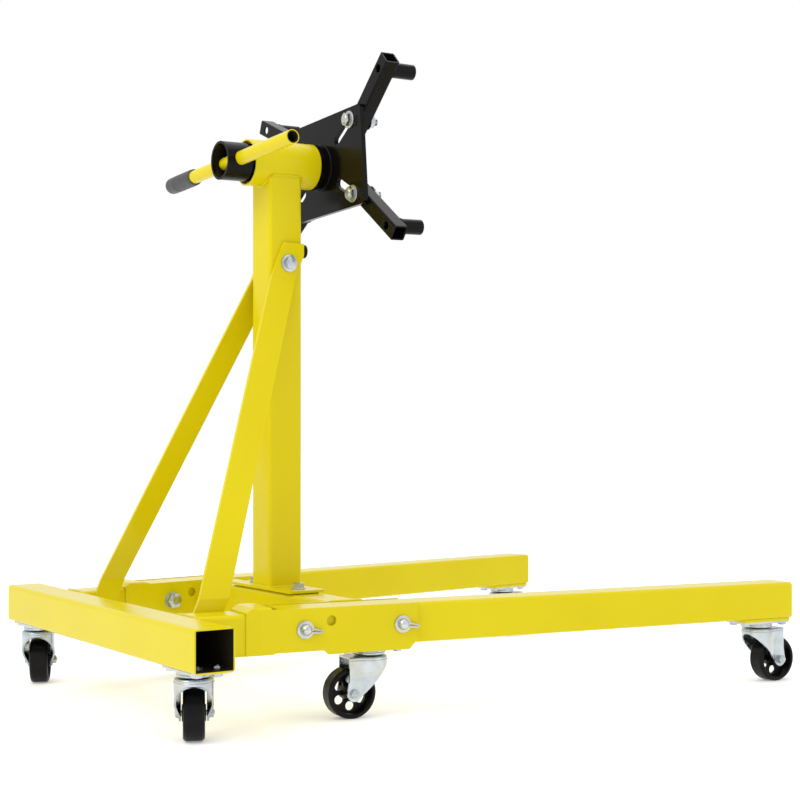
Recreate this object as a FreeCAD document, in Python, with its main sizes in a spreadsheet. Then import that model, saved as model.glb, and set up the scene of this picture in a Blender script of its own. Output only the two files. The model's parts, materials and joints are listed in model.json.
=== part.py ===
import FreeCAD, Part
import math
import os
import re
import Sketcher

# A folding engine stand: a wheeled steel frame, a mast with two braces, and a turning head
# whose four arms bolt to an engine. Millimetres, +X towards the engine, +Y left, +Z up,
# the floor at Z = 0 and the origin under the middle of the whole stand.

DIMENSIONS = (
    # name, value, what it is
    ("rear_x", -564.84, "rear face of the rear cross tube"),
    ("tube", 60, "side of the square frame tube"),
    ("tube_wall", 3, "wall of the frame tube"),
    ("tube_corner", 6, "outside corner radius of the frame tube"),
    ("frame_base", 104, "underside of the welded frame, above the floor"),
    ("rear_length", 714, "length of the rear cross tube"),
    ("splay", 8.2, "angle of each leg, degrees"),
    ("pivot_x", 223.7, "leg pivot, forward of the rear face"),
    ("pivot_y", 232.8, "leg pivot, out from the middle"),
    ("leg_middle", 139, "height of the leg's centre line"),
    ("leg_behind", 36, "leg behind its pivot"),
    ("leg_ahead", 893, "leg ahead of its pivot"),
    ("member_end", 52, "front end of the side member, behind the pivot"),
    ("cheek_gap", 1, "side clearance of the leg in its bracket"),
    ("cheek", 5, "thickness of the bracket plates"),
    ("bracket_rear", 88, "bracket behind the pivot"),
    ("bracket_front", 180, "bracket ahead of the pivot"),
    ("cheek_top", 30.5, "top edge of the cheeks, above the leg's centre line"),
    ("web_rear", 78, "rear edge of the closed top, behind the pivot"),
    ("web_front", 49, "front edge of the closed top, behind the pivot"),
    ("web_top", 34, "top of the closed part of the bracket"),
    ("heel_rear", 45, "rear end of the open bottom, behind the pivot"),
    ("heel_front", 30, "front end of the open bottom, ahead of the pivot"),
    ("heel_edge", 31.5, "cheek edge at the open bottom, below the centre line"),
    ("tail_edge", 33, "rear cheek edge, below the centre line"),
    ("skirt_edge", 38, "front cheek edge, below the centre line"),
    ("floor_rear", 37, "rear edge of the bracket's bottom plate"),
    ("skirt_nose", 14, "slant of the front lower corner"),
    ("pin_radius", 8, "pivot pin and lock pin"),
    ("pin_fit", 0.05, "radial clearance of a pin in its holes"),
    ("lock_x", 154.5, "lock pin, ahead of the pivot"),
    ("hold_x", 41, "spare hole that holds a folded leg up"),
    ("hold_z", 11, "height of that hole above the centre line"),
    ("hold_radius", 7.5, "radius of that hole"),
    ("washer_radius", 13, "washer under a pin's end"),
    ("washer_depth", 2.5, "thickness of that washer"),
    ("dome_radius", 8.5, "rounded outer end of a pin"),
    ("dome_reach", 4, "straight part of a pin outside its washer"),
    ("clip_radius", 1.8, "wire of the pin clip"),
    ("clip_length", 24, "tail of the pin clip"),
    ("clip_turn", 9, "droop of the clip's tail, degrees"),
    ("pivot_tail", 13, "pivot pin beyond the inner cheek"),
    ("lock_tail", 6, "lock pin beyond the inner cheek"),
    ("pivot_nut", 13.5, "hexagon of the pivot pin's nut, centre to corner"),
    ("pivot_nut_depth", 10, "depth of that nut"),
    ("pivot_ring", 14, "washer under that nut"),
    ("pivot_ring_depth", 1.5, "thickness of that washer"),
    ("seat_gap", 0.8, "clearance of the lock pin in the leg's slot"),
    ("mouth_rear", 11.2, "mouth of that slot, behind the lock pin"),
    ("mouth_front", 8.3, "mouth of that slot, ahead of the lock pin"),
    ("pad_depth", 5, "caster pad under a leg"),
    ("leg_caster_x", 844, "leg caster ahead of the pivot"),
    ("mid_caster_x", 116.5, "middle caster ahead of the pivot"),
    ("rear_caster_y", 295, "rear caster out from the middle"),
    ("mast_x", 322, "mast centre, forward of the rear face"),
    ("base_pad_depth", 2, "packing strip under the mast plate"),
    ("base_depth", 4, "mast base plate"),
    ("base_length", 198, "mast base plate, across the stand"),
    ("base_width", 64, "mast base plate, along the stand"),
    ("base_bolt_y", 70, "mast bolts, out from the middle"),
    ("base_head", 10.4, "hexagon of a mast bolt, centre to corner"),
    ("base_head_depth", 7.5, "depth of that hexagon"),
    ("base_shank", 26, "length of a mast bolt under its head"),
    ("base_nut_depth", 8, "nut of a mast bolt"),
    ("base_washer", 11, "washer of a mast bolt"),
    ("base_washer_depth", 2, "thickness of that washer"),
    ("head_z", 857, "height of the spindle axis at the mast"),
    ("head_tilt", 2, "upward tilt of the spindle, degrees"),
    ("head_turn", -2, "rest turn of the head about the spindle, degrees"),
    ("sleeve_radius", 37, "outside of the head sleeve"),
    ("sleeve_rear", 57, "sleeve behind the mast centre"),
    ("sleeve_front", 63, "sleeve ahead of the mast centre"),
    ("recess_radius", 34, "recess in the sleeve's rear end"),
    ("recess_depth", 8, "depth of that recess"),
    ("spindle_radius", 30.5, "outside of the spindle tube"),
    ("spindle_wall", 4, "wall of the spindle tube"),
    ("spindle_rear", 103.4, "spindle behind the mast centre"),
    ("collar_radius", 37, "collar between sleeve and face plate"),
    ("plate_rear", 81, "rear of the face plate, ahead of the mast centre"),
    ("plate_depth", 8, "thickness of the face plate"),
    ("plate_width", 260, "face plate, side to side"),
    ("plate_height", 158, "face plate, top to bottom"),
    ("plate_corner", 5, "corner radius of the face plate"),
    ("slot_angle", 31, "slope of the face plate's slots, degrees"),
    ("slot_inner", 66, "inner slot centre from the axis"),
    ("slot_outer", 118, "outer slot centre from the axis"),
    ("slot_radius", 7.5, "half the width of a slot"),
    ("handle_x", 80, "handle bar behind the mast centre"),
    ("bar_radius", 11, "outside of the handle bar"),
    ("bar_bore", 8, "bore of the handle bar"),
    ("bar_near", 192, "handle bar to the right of the axis"),
    ("bar_far", 226, "handle bar to the left of the axis"),
    ("grip_start", 136, "inner end of the grip"),
    ("grip_end", 229, "outer end of the grip"),
    ("grip_radius", 14, "outside of the grip"),
    ("bar_fit", 0.1, "radial clearance of the handle bar"),
    ("arm_side", 25, "side of the square arm tube"),
    ("arm_wall", 2.5, "wall of the arm tube"),
    ("arm_corner", 3, "corner radius of the arm tube"),
    ("arm_inner", 17, "arm inside its clamp bolt"),
    ("arm_reach", 100, "clamp bolt to engine bolt"),
    ("arm_outer", 22, "arm beyond the engine bolt"),
    ("arm_bore", 6.5, "radius of the engine bolt hole"),
    ("arm_sleeve", 12, "outside radius of the arm's sleeve"),
    ("arm_sleeve_length", 39, "length of that sleeve"),
    ("clamp_radius", 6, "clamp bolt"),
    ("flange_radius", 14, "flange under a clamp bolt's head"),
    ("flange_depth", 2.5, "thickness of that flange"),
    ("clamp_head", 10.5, "hexagon of the clamp bolt, centre to corner"),
    ("clamp_head_depth", 8, "depth of that hexagon"),
    ("clamp_tail", 7, "clamp bolt beyond its nut"),
    ("brace_width", 44, "brace, along the stand"),
    ("brace_depth", 6, "thickness of the brace bar"),
    ("brace_bolt_z", 694, "height of the brace bolt"),
    ("brace_bolt_x", 324, "brace bolt, forward of the rear face"),
    ("brace_foot_x", 112, "middle of the brace at its low mark, forward of the rear face"),
    ("brace_foot_z", 174, "height of that mark"),
    ("brace_bottom", 116, "lower end of the brace"),
    ("brace_low_bend", 182, "height where the brace leaves the side member"),
    ("brace_high_bend", 671, "height where the brace meets the mast"),
    ("brace_top", 727, "upper end of the brace"),
    ("brace_nut_depth", 10, "nut of the brace bolt"),
    ("brace_tail", 10, "brace bolt beyond its nut"),
    ("caster_plate_length", 96, "caster plate, along its tube"),
    ("caster_plate_width", 52, "caster plate, across its tube"),
    ("caster_plate_depth", 3, "thickness of the caster plate"),
    ("caster_bolt_along", 39.5, "caster bolts along the tube"),
    ("caster_bolt_across", 15, "caster bolts across the tube"),
    ("caster_bolt_radius", 4, "caster bolts and axles"),
    ("caster_hole_radius", 4.4, "clearance hole for a caster bolt"),
    ("caster_head", 7.5, "hexagon of a caster bolt, centre to corner"),
    ("caster_head_depth", 5, "depth of that hexagon"),
    ("caster_nut_depth", 6, "nut of a caster bolt"),
    ("caster_bolt_sunk", 0.5, "end of a middle caster bolt under the bracket's floor"),
    ("race_radius", 23, "ball race of the caster"),
    ("race_top", 92.5, "underside of the fixed race"),
    ("crown_top", 91.5, "top of the turning crown"),
    ("kingpin_radius", 5, "kingpin of the caster"),
    ("trail", 32, "axle behind the kingpin"),
    ("rear_heading", 244, "rest heading of a rear caster, degrees"),
    ("leg_heading", 176, "rest heading of a leg caster, degrees"),
    ("axle_head_depth", 6, "head of the axle bolt"),
    ("axle_nut_depth", 7, "nut of the axle bolt"),
    ("axle_tail", 2, "axle beyond its nut"),
    ("wheel_radius", 38, "caster wheel"),
    ("wheel_width", 30, "width of the tread"),
    ("hub_width", 33, "length of the wheel hub"),
    ("hub_radius", 12, "outside of the wheel hub"),
    ("wheel_web", 4, "thickness of the wheel's web"),
    ("rim_inner", 31, "inside of the wheel's rim"),
    ("wheel_hole", 7, "radius of the holes in the web"),
    ("wheel_hole_ring", 20, "ring of those holes"),
    ("wheel_holes", 6, "number of those holes"),
    ("fork_gap", 35.2, "inside width of the fork at the axle"),
    ("crown_radius", 27, "round front of the fork's crown"),
    ("crown_turn", 113, "where that round ends, degrees from the front"),
    ("crown_bend", 3, "rounded top edge of the crown"),
    ("fork_wall", 3, "thickness of the fork"),
    ("fork_rear", 40, "rear edge of the fork, behind the kingpin"),
    ("fork_front", 24, "front edge of the fork, ahead of the kingpin"),
    ("fork_foot", 11.5, "radius of the fork round the axle"),
)
NAMES = {name for name, value, note in DIMENSIONS}

doc = FreeCAD.newDocument("EngineStand")
sheet = doc.addObject("Spreadsheet::Sheet", "Sizes")
nodes = []

UP = FreeCAD.Vector(0, 0, 1)
ALONG = FreeCAD.Vector(1, 0, 0)
ACROSS = FreeCAD.Vector(0, 1, 0)
SIDES = (("L", 1), ("R", -1))


# ---------------------------------------------------------------- sheet and expressions

def fill_sheet():
    """Write every driving dimension into the sheet, with its alias."""
    for row, (name, value, note) in enumerate(DIMENSIONS, 1):
        sheet.set(f"A{row}", note)
        sheet.set(f"B{row}", str(value))
        sheet.setAlias(f"B{row}", name)
    doc.recompute()


def cells(expression):
    """Point every dimension's name in an expression at its cell."""
    def cell(word):
        return "Sizes." + word[0] if word[0] in NAMES else word[0]
    return re.sub(r"[a-z]\w*", cell, expression)


def size(expression):
    """The number that an expression over the dimensions gives."""
    return float(sheet.evalExpression(cells(expression)))


def bind(item, sizes):
    """Drive properties of an object by expressions over the sheet."""
    for prop, expression in sizes.items():
        item.setExpression(prop, cells(expression))


def turned(axis, angle):
    return FreeCAD.Rotation(axis, angle)


def place(x, y, z, rotation=FreeCAD.Rotation()):
    """A place in a frame, from three expressions and a rotation."""
    return FreeCAD.Placement(FreeCAD.Vector(size(x), size(y), size(z)), rotation)


def stand(x, y, z, rotation=FreeCAD.Rotation()):
    """A place on the stand, with X measured from the rear face of the rear tube."""
    return place("rear_x + " + x, y, z, rotation)


def leg_frame(side):
    """The frame of one leg: origin on its pivot, X forward along the leg."""
    return stand("pivot_x", f"{side} * pivot_y", "leg_middle", turned(UP, side * size("splay")))


def head_frame():
    """The frame of the turning head: origin over the mast, X along the spindle."""
    tilt = turned(ACROSS, -size("head_tilt"))
    turn = turned(ALONG, size("head_turn"))
    return stand("mast_x", "0", "head_z", tilt * turn)


# ---------------------------------------------------------------- sketches

def sketch(body, plane, offset="0"):
    """A sketch on one of the body's own planes, moved along the plane's normal."""
    support = next(item for item in body.Origin.OriginFeatures if item.Role == plane)
    item = body.newObject("Sketcher::SketchObject", "Sketch")
    item.AttachmentSupport = [(support, "")]
    item.MapMode = "FlatFace"
    bind(item, {"AttachmentOffset.Base.z": offset})
    return item


def constrain(item, kind, places, expression):
    """Add one driven dimension to a sketch."""
    number = item.addConstraint(Sketcher.Constraint(kind, *places, size(expression)))
    bind(item, {f"Constraints[{number}]": expression})


def pin_point(item, geometry, point, x, y):
    """Fix one point of a sketch by its two distances from the sketch's origin."""
    constrain(item, "DistanceX", (-1, 1, geometry, point), x)
    constrain(item, "DistanceY", (-1, 1, geometry, point), y)


def circle(item, radius, x="0", y="0"):
    centre = FreeCAD.Vector(size(x), size(y), 0)
    number = item.addGeometry(Part.Circle(centre, UP, size(radius)), False)
    pin_point(item, number, 3, x, y)
    constrain(item, "Radius", (number,), radius)


def polygon(item, points):
    """A closed outline of straight runs between points given as pairs of expressions."""
    spots = [FreeCAD.Vector(size(x), size(y), 0) for x, y in points]
    first = item.GeometryCount
    count = len(points)
    for number, spot in enumerate(spots):
        item.addGeometry(Part.LineSegment(spot, spots[(number + 1) % count]), False)
    for number, (x, y) in enumerate(points):
        item.addConstraint(
            Sketcher.Constraint("Coincident", first + number, 2, first + (number + 1) % count, 1))
        pin_point(item, first + number, 1, x, y)


def box_outline(item, x0, x1, y0, y1):
    polygon(item, ((x0, y0), (x1, y0), (x1, y1), (x0, y1)))


def round_chain(item, centres, radius):
    """A closed outline: equal arcs about the centres, anticlockwise, joined by tangent lines."""
    spots = [FreeCAD.Vector(size(x), size(y), 0) for x, y in centres]
    reach = size(radius)
    count = len(spots)
    runs = [(spots[(n + 1) % count] - spots[n]).normalize() for n in range(count)]
    outward = [FreeCAD.Vector(run.y, -run.x, 0) for run in runs]
    first = item.GeometryCount
    for number, spot in enumerate(spots):
        start, end = outward[number - 1], outward[number]
        arc = Part.ArcOfCircle(Part.Circle(spot, UP, reach),
                               math.atan2(start.y, start.x), math.atan2(end.y, end.x))
        item.addGeometry(arc, False)
        line = Part.LineSegment(spot + end * reach, spots[(number + 1) % count] + end * reach)
        item.addGeometry(line, False)
    for number, (x, y) in enumerate(centres):
        arc = first + 2 * number
        following = first + 2 * ((number + 1) % count)
        item.addConstraint(Sketcher.Constraint("Tangent", arc, 2, arc + 1, 1))
        item.addConstraint(Sketcher.Constraint("Tangent", arc + 1, 2, following, 1))
        pin_point(item, arc, 3, x, y)
        if number:
            item.addConstraint(Sketcher.Constraint("Equal", first, arc))
    constrain(item, "Radius", (first,), radius)


def rounded_box(item, width, height, corner):
    """A rectangle about the origin with rounded corners."""
    x = f"({width}) / 2 - ({corner})"
    y = f"({height}) / 2 - ({corner})"
    round_chain(item, ((x, y), (f"-({x})", y), (f"-({x})", f"-({y})"), (x, f"-({y})")), corner)


# ---------------------------------------------------------------- features and sub-parts

def new_body(name):
    return doc.addObject("PartDesign::Body", name)


def feature(body, kind, profile, length, symmetric, reverse):
    item = body.newObject("PartDesign::" + kind, kind)
    item.Profile = profile
    bind(item, {"Length": length})
    item.SideType = "Symmetric" if symmetric else "One side"
    item.Reversed = reverse
    body.Tip = item
    return item


def pad(body, profile, length, symmetric=False, reverse=False):
    return feature(body, "Pad", profile, length, symmetric, reverse)


def pocket(body, profile, length, symmetric=False, reverse=False):
    return feature(body, "Pocket", profile, length, symmetric, reverse)


def primitive(kind, sizes, placement=FreeCAD.Placement()):
    """A plain solid whose sizes are bound to the sheet."""
    item = doc.addObject("Part::" + kind, kind)
    bind(item, sizes)
    item.Placement = placement
    return item


def cylinder(radius, length, placement=FreeCAD.Placement()):
    return primitive("Cylinder", {"Radius": radius, "Height": length}, placement)


def hexagon(reach, length, placement=FreeCAD.Placement()):
    item = primitive("Prism", {"Circumradius": reach, "Height": length}, placement)
    item.Polygon = 6
    return item


def fuse(pieces):
    item = doc.addObject("Part::MultiFuse", "Fusion")
    item.Shapes = pieces
    return item


def cut(base, tool):
    item = doc.addObject("Part::Cut", "Cut")
    item.Base = base
    item.Tool = tool
    return item


def group(pieces):
    """Several separate solids that share one node."""
    item = doc.addObject("Part::Compound", "Group")
    item.Links = pieces
    return item


def keep(item, label, placement=None):
    """Name a finished sub-part, put it in its place and list it for export."""
    item.Label = label
    if placement is not None:
        item.Placement = placement
    nodes.append(item)
    return item


def square_tube(name, side, wall, corner, length, reverse=False, symmetric=False, plane="YZ_Plane"):
    """A body that is one length of square tube along the plane's normal, open at both ends."""
    body = new_body(name)
    profile = sketch(body, plane)
    rounded_box(profile, side, side, corner)
    rounded_box(profile, f"{side} - 2 * {wall}", f"{side} - 2 * {wall}", f"{corner} - {wall}")
    pad(body, profile, length, symmetric, reverse)
    return body


# ---------------------------------------------------------------- welded frame

def caster_holes(body, plane_offset, centre_x="0", centre_y="0", along="X"):
    """Four clearance holes for a caster plate, down through the wall under the offset."""
    holes = sketch(body, "XY_Plane", plane_offset)
    reach_x = "caster_bolt_along" if along == "X" else "caster_bolt_across"
    reach_y = "caster_bolt_across" if along == "X" else "caster_bolt_along"
    for x in (f"{centre_x} + {reach_x}", f"{centre_x} - {reach_x}"):
        for y in (f"{centre_y} + {reach_y}", f"{centre_y} - {reach_y}"):
            circle(holes, "caster_hole_radius", x, y)
    return holes


def rear_cross_tube():
    """The tube across the back, drilled underneath for its two casters."""
    body = square_tube("RearCrossTube", "tube", "tube_wall", "tube_corner", "rear_length",
                       symmetric=True, plane="XZ_Plane")
    for side in ("rear_caster_y", "-rear_caster_y"):
        holes = caster_holes(body, "-tube / 4", centre_y=side, along="Y")
        pocket(body, holes, "tube / 2")
    keep(body, "rear_cross_tube", stand("tube / 2", "0", "frame_base + tube / 2"))


def side_member(name, side):
    """The stub tube between the rear tube and a bracket, mitred against the rear tube."""
    body = square_tube(f"SideMember{name}", "tube", "tube_wall", "tube_corner", "pivot_x",
                       reverse=True)
    shift = "(pivot_x - tube) / cos(splay)"
    skew = f"{side} * tube * tan(splay)"
    mitre = sketch(body, "XY_Plane")
    rear = f"member_end - ({shift})"
    polygon(mitre, ((f"{rear} - {skew}", "-tube"), (f"{rear} + {skew}", "tube"),
                    ("-2 * pivot_x", "tube"), ("-2 * pivot_x", "-tube")))
    pocket(body, mitre, "2 * tube", symmetric=True)
    offset = place("-member_end", "0", "frame_base + tube / 2 - leg_middle")
    keep(body, f"side_member_{name}", leg_frame(side) * offset)


def bracket(name, side):
    """The folded channel that carries a leg: two cheeks, a closed top behind, a floor ahead."""
    body = new_body(f"Bracket{name}")
    outer = "tube / 2 + cheek_gap + cheek"
    inner = "tube / 2 + cheek_gap"
    profile = sketch(body, "XZ_Plane")
    polygon(profile, (
        ("-bracket_rear", "-tail_edge"), ("-heel_rear - 3", "-tail_edge"),
        ("-heel_rear", "-heel_edge"), ("heel_front", "-heel_edge"),
        ("floor_rear", "-skirt_edge"), ("bracket_front - skirt_nose", "-skirt_edge"),
        ("bracket_front", "-skirt_edge + skirt_nose"), ("bracket_front", "cheek_top"),
        ("-web_front", "cheek_top"), ("-web_front - 3", "web_top"),
        ("-web_rear", "web_top"), ("-bracket_rear", "cheek_top - 3")))
    pad(body, profile, f"2 * ({outer})", symmetric=True)

    member = sketch(body, "XY_Plane", "frame_base + tube - leg_middle")
    box_outline(member, "-bracket_rear - 2", "-web_front + 2", "-tube / 2", "tube / 2")
    pocket(body, member, "3 * tube")
    leg_space = sketch(body, "XY_Plane", "web_top + 2")
    box_outline(leg_space, "-web_front", "bracket_front + 2", f"-({inner})", inner)
    pocket(body, leg_space, "web_top + 2 + tube / 2")
    open_heel = sketch(body, "XY_Plane")
    box_outline(open_heel, "-web_front", "floor_rear", f"-({inner})", inner)
    pocket(body, open_heel, "3 * tube")
    under_floor = sketch(body, "XY_Plane", "frame_base - leg_middle")
    box_outline(under_floor, "0", "bracket_front + 2", f"-({inner})", inner)
    pocket(body, under_floor, "tube")
    tapered_tail(body, outer)

    cross_holes = sketch(body, "XZ_Plane")
    circle(cross_holes, "pin_radius + pin_fit")
    circle(cross_holes, "pin_radius + pin_fit", "lock_x")
    circle(cross_holes, "hold_radius", "hold_x", "hold_z")
    pocket(body, cross_holes, "3 * tube", symmetric=True)
    caster = caster_holes(body, "-tube / 4", centre_x="mid_caster_x")
    pocket(body, caster, "tube")
    soften(body, long_edges_at(body, "-web_rear", "-web_front - 3", "web_top", outer), "cheek - 1")
    skirt = long_edges_at(body, "floor_rear", "bracket_front", "-skirt_edge", outer)
    soften(body, skirt, "cheek / 2")
    keep(body, f"bracket_{name}", leg_frame(side))


def tapered_tail(body, outer):
    """Thin the cheeks towards the rear, where they are drawn in against the side member."""
    tails = sketch(body, "XY_Plane")
    for sign in ("", "-"):
        polygon(tails, (("-bracket_rear - 2", f"{sign}(tube / 2 + 2)"),
                        ("-bracket_rear + 22", f"{sign}({outer})"),
                        ("-bracket_rear + 22", f"{sign}({outer} + 2)"),
                        ("-bracket_rear - 2", f"{sign}({outer} + 2)")))
    pocket(body, tails, "3 * tube", symmetric=True)


def long_edges_at(body, rear, front, height, reach):
    """Names of the outer edges along X at one height, between two places along X."""
    doc.recompute()
    low, high, level, side = size(rear), size(front), size(height), size(reach)
    names = []
    for number, edge in enumerate(body.Tip.Shape.Edges, 1):
        box = edge.BoundBox
        flat = abs(box.ZMin - level) < 0.01 and abs(box.ZMax - level) < 0.01
        outside = abs(abs(box.YMin) - side) < 0.01 and box.YLength < 0.01
        if flat and outside and box.XLength > 5 and low - 1 < box.XMin and box.XMax < high + 1:
            names.append(f"Edge{number}")
    return names


def soften(body, edges, radius):
    """Round the named edges of a body's last feature."""
    base = body.Tip
    item = body.newObject("PartDesign::Fillet", "Fillet")
    item.Base = (base, edges)
    bind(item, {"Radius": radius})
    body.Tip = item


def mid_cross_tube():
    """The tube between the two brackets that carries the mast, mitred at both ends."""
    half = "pivot_y + (mast_x - pivot_x) * tan(splay) - (tube / 2 + cheek_gap + cheek) / cos(splay)"
    body = square_tube("MidCrossTube", "tube", "tube_wall", "tube_corner", "2 * pivot_y",
                       symmetric=True, plane="XZ_Plane")
    mitres = sketch(body, "XY_Plane")
    skew = "tube * tan(splay)"
    for sign in ("", "-"):
        polygon(mitres, (("-tube", f"{sign}({half} - {skew})"), ("tube", f"{sign}({half} + {skew})"),
                         ("tube", f"{sign}(pivot_y * 2)"), ("-tube", f"{sign}(pivot_y * 2)")))
    pocket(body, mitres, "2 * tube", symmetric=True)
    holes = sketch(body, "XY_Plane", "tube / 4")
    for y in ("base_bolt_y", "-base_bolt_y"):
        circle(holes, "clamp_radius + 0.3", "0", y)
    pocket(body, holes, "tube / 2", reverse=True)
    keep(body, "mid_cross_tube", stand("mast_x", "0", "leg_middle"))


def base_plate(label, depth, inset, corner, height):
    """A flat plate on the middle tube, drilled for the mast bolts."""
    body = new_body(label.title().replace("_", ""))
    profile = sketch(body, "XY_Plane")
    rounded_box(profile, f"base_width - 2 * {inset}", f"base_length - 2 * {inset}", corner)
    for y in ("base_bolt_y", "-base_bolt_y"):
        circle(profile, "clamp_radius + 0.3", "0", y)
    pad(body, profile, depth)
    keep(body, label, stand("mast_x", "0", height))


def mast_base():
    """Packing strip and base plate, one on the other, on the middle cross tube."""
    top = "leg_middle + tube / 2"
    base_plate("mast_base_pad", "base_pad_depth", "7", "2", top)
    base_plate("mast_base_plate", "base_depth", "0", "3", top + " + base_pad_depth")


def hex_bolt(radius, head, head_depth, length, placement):
    """A bolt with its hexagon head above the origin plane and its shank below it."""
    shank = cylinder(radius, length, place("0", "0", f"-({length})"))
    cap = hexagon(head, head_depth)
    item = fuse([shank, cap])
    item.Placement = placement
    return item


def washer(radius, bore, depth, placement):
    ring = cut(cylinder(radius, depth), cylinder(bore, depth))
    ring.Placement = placement
    return ring


def plain_nut(reach, depth, bore, placement):
    """A hexagon nut with a plain bore."""
    item = cut(hexagon(reach, depth), cylinder(f"{bore} + 0.02", depth))
    item.Placement = placement
    return item


def mast_base_bolts():
    """The two bolts that hold the mast down, with their nuts inside the cross tube."""
    seat = "leg_middle + tube / 2 + base_pad_depth + base_depth"
    ceiling = "leg_middle + tube / 2 - tube_wall"
    pieces = []
    for y in ("base_bolt_y", "-base_bolt_y"):
        head = stand("mast_x", y, f"{seat} + base_washer_depth")
        under = stand("mast_x", y, f"{ceiling} - base_nut_depth")
        pieces.append(hex_bolt("clamp_radius", "base_head", "base_head_depth", "base_shank", head))
        pieces.append(washer("base_washer", "clamp_radius + 0.2", "base_washer_depth",
                             stand("mast_x", y, seat)))
        pieces.append(plain_nut("base_head", "base_nut_depth", "clamp_radius", under))
    keep(group(pieces), "mast_base_bolts")


# ---------------------------------------------------------------- mast, sleeve and braces

def mast_post():
    """The upright tube, drilled for the brace bolt and coped round the head sleeve."""
    foot = "leg_middle + tube / 2 + base_pad_depth + base_depth"
    body = square_tube("MastPost", "tube", "tube_wall", "tube_corner", f"head_z - ({foot})",
                       plane="XY_Plane")
    holes = sketch(body, "XZ_Plane")
    circle(holes, "clamp_radius + 0.3", "brace_bolt_x - mast_x", f"brace_bolt_z - ({foot})")
    pocket(body, holes, "2 * tube", symmetric=True)
    body.Placement = stand("mast_x", "0", foot)
    along = place("-2 * tube", "0", "0", turned(ACROSS, 90))
    tool = cylinder("sleeve_radius + 0.1", "4 * tube", along)
    tool.Placement = head_frame() * tool.Placement
    keep(cut(body, tool), "mast_post")


def head_sleeve():
    """The thick tube welded across the top of the mast, bored for the spindle."""
    body = new_body("HeadSleeve")
    profile = sketch(body, "XZ_Plane")
    bore = "spindle_radius + pin_fit"
    polygon(profile, (("-sleeve_rear", "recess_radius"), ("-sleeve_rear", "sleeve_radius - 1.2"),
                      ("-sleeve_rear + 1.2", "sleeve_radius"), ("sleeve_front - 1.2", "sleeve_radius"),
                      ("sleeve_front", "sleeve_radius - 1.2"), ("sleeve_front", bore),
                      ("-sleeve_rear + recess_depth", bore),
                      ("-sleeve_rear + recess_depth", "recess_radius")))
    turn_about(body, profile, "H_Axis")
    keep(body, "head_sleeve", head_frame())


def turn_about(body, profile, axis):
    """A full revolution of a profile about one of its sketch's own axes."""
    item = body.newObject("PartDesign::Revolution", "Revolution")
    item.Profile = profile
    item.ReferenceAxis = (profile, [axis])
    item.Angle = 360
    body.Tip = item


def brace_section(side, height, middle, width, inner, twist):
    """One level cut through a brace bar: a thin rectangle, turned by the twist."""
    reach = width / 2
    depth = size("brace_depth")
    slope = math.tan(math.radians(twist))
    corners = []
    for x, y in ((-reach, 0), (reach, 0), (reach, depth), (-reach, depth)):
        corners.append(FreeCAD.Vector(middle + x, side * (inner + y + x * slope), height))
    return Part.makePolygon(corners + corners[:1])


def brace(name, side):
    """The bent flat bar from a side member up to the mast's side face."""
    width = size("brace_width")
    foot_x, foot_z = size("brace_foot_x"), size("brace_foot_z")
    lean = (size("brace_bolt_x") - foot_x) / (size("brace_bolt_z") - foot_z)
    rear_x, half = size("rear_x"), size("tube / 2")
    splay, depth = size("splay"), size("brace_depth")

    def middle(height):
        return foot_x + lean * (height - foot_z)

    def on_member(height):
        """Where the bar's inner face runs along the side member's inner face."""
        line = size("pivot_y") + (middle(height) - size("pivot_x")) * math.tan(math.radians(splay))
        return line - half / math.cos(math.radians(splay)) - depth / math.cos(math.radians(splay))

    def level(height, inner, twist):
        return brace_section(side, height, rear_x + middle(height), width, inner, twist)

    bottom, low_bend = size("brace_bottom"), size("brace_low_bend")
    high_bend, top = size("brace_high_bend"), size("brace_top")
    front = size("mast_x") + half
    meets = foot_z + (front - width / 2 - foot_x) / lean
    clipped = middle(top) - width / 2
    last = brace_section(side, top, rear_x + (clipped + front) / 2, front - clipped, half, 0)
    sections = [level(bottom, on_member(bottom), splay), level(low_bend, on_member(low_bend), splay),
                level(high_bend, half, 0), level(meets, half, 0), last]
    bar = Part.makeLoft(sections, True, True)
    drill = Part.makeCylinder(size("clamp_radius") + 0.3, 4 * half,
                              FreeCAD.Vector(rear_x + size("brace_bolt_x"), 0, size("brace_bolt_z")),
                              FreeCAD.Vector(0, side, 0))
    item = doc.addObject("Part::Feature", f"Brace{name}")
    item.Shape = bar.cut(drill)
    keep(item, f"brace_{name}", FreeCAD.Placement())


def brace_bolt():
    """The flanged bolt through both braces and the mast, with its nut on the left."""
    outside = "tube / 2 + brace_depth"
    along = turned(ALONG, 90)
    length = f"2 * ({outside}) + flange_depth + brace_nut_depth + brace_tail"
    seat = stand("brace_bolt_x", f"-({outside})", "brace_bolt_z", along)
    head = stand("brace_bolt_x", f"-({outside}) - flange_depth", "brace_bolt_z", along)
    bolt = hex_bolt("clamp_radius", "clamp_head", "clamp_head_depth", length, head)
    collar = washer("flange_radius", "clamp_radius", "flange_depth", seat)
    far_side = stand("brace_bolt_x", f"{outside} + brace_nut_depth", "brace_bolt_z", along)
    nut = plain_nut("clamp_head", "brace_nut_depth", "clamp_radius", far_side)
    keep(group([fuse([bolt, collar]), nut]), "brace_bolt")


# ---------------------------------------------------------------- turning head

def spindle_tube():
    """The hollow spindle, cross-drilled at the back for the handle bar."""
    body = new_body("SpindleTube")
    profile = sketch(body, "YZ_Plane", "-spindle_rear")
    circle(profile, "spindle_radius")
    circle(profile, "spindle_radius - spindle_wall")
    pad(body, profile, "spindle_rear + plate_rear")
    hole = sketch(body, "XZ_Plane")
    circle(hole, "bar_radius + bar_fit", "-handle_x")
    pocket(body, hole, "4 * spindle_radius", symmetric=True)
    keep(body, "spindle_tube", head_frame())


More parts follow.
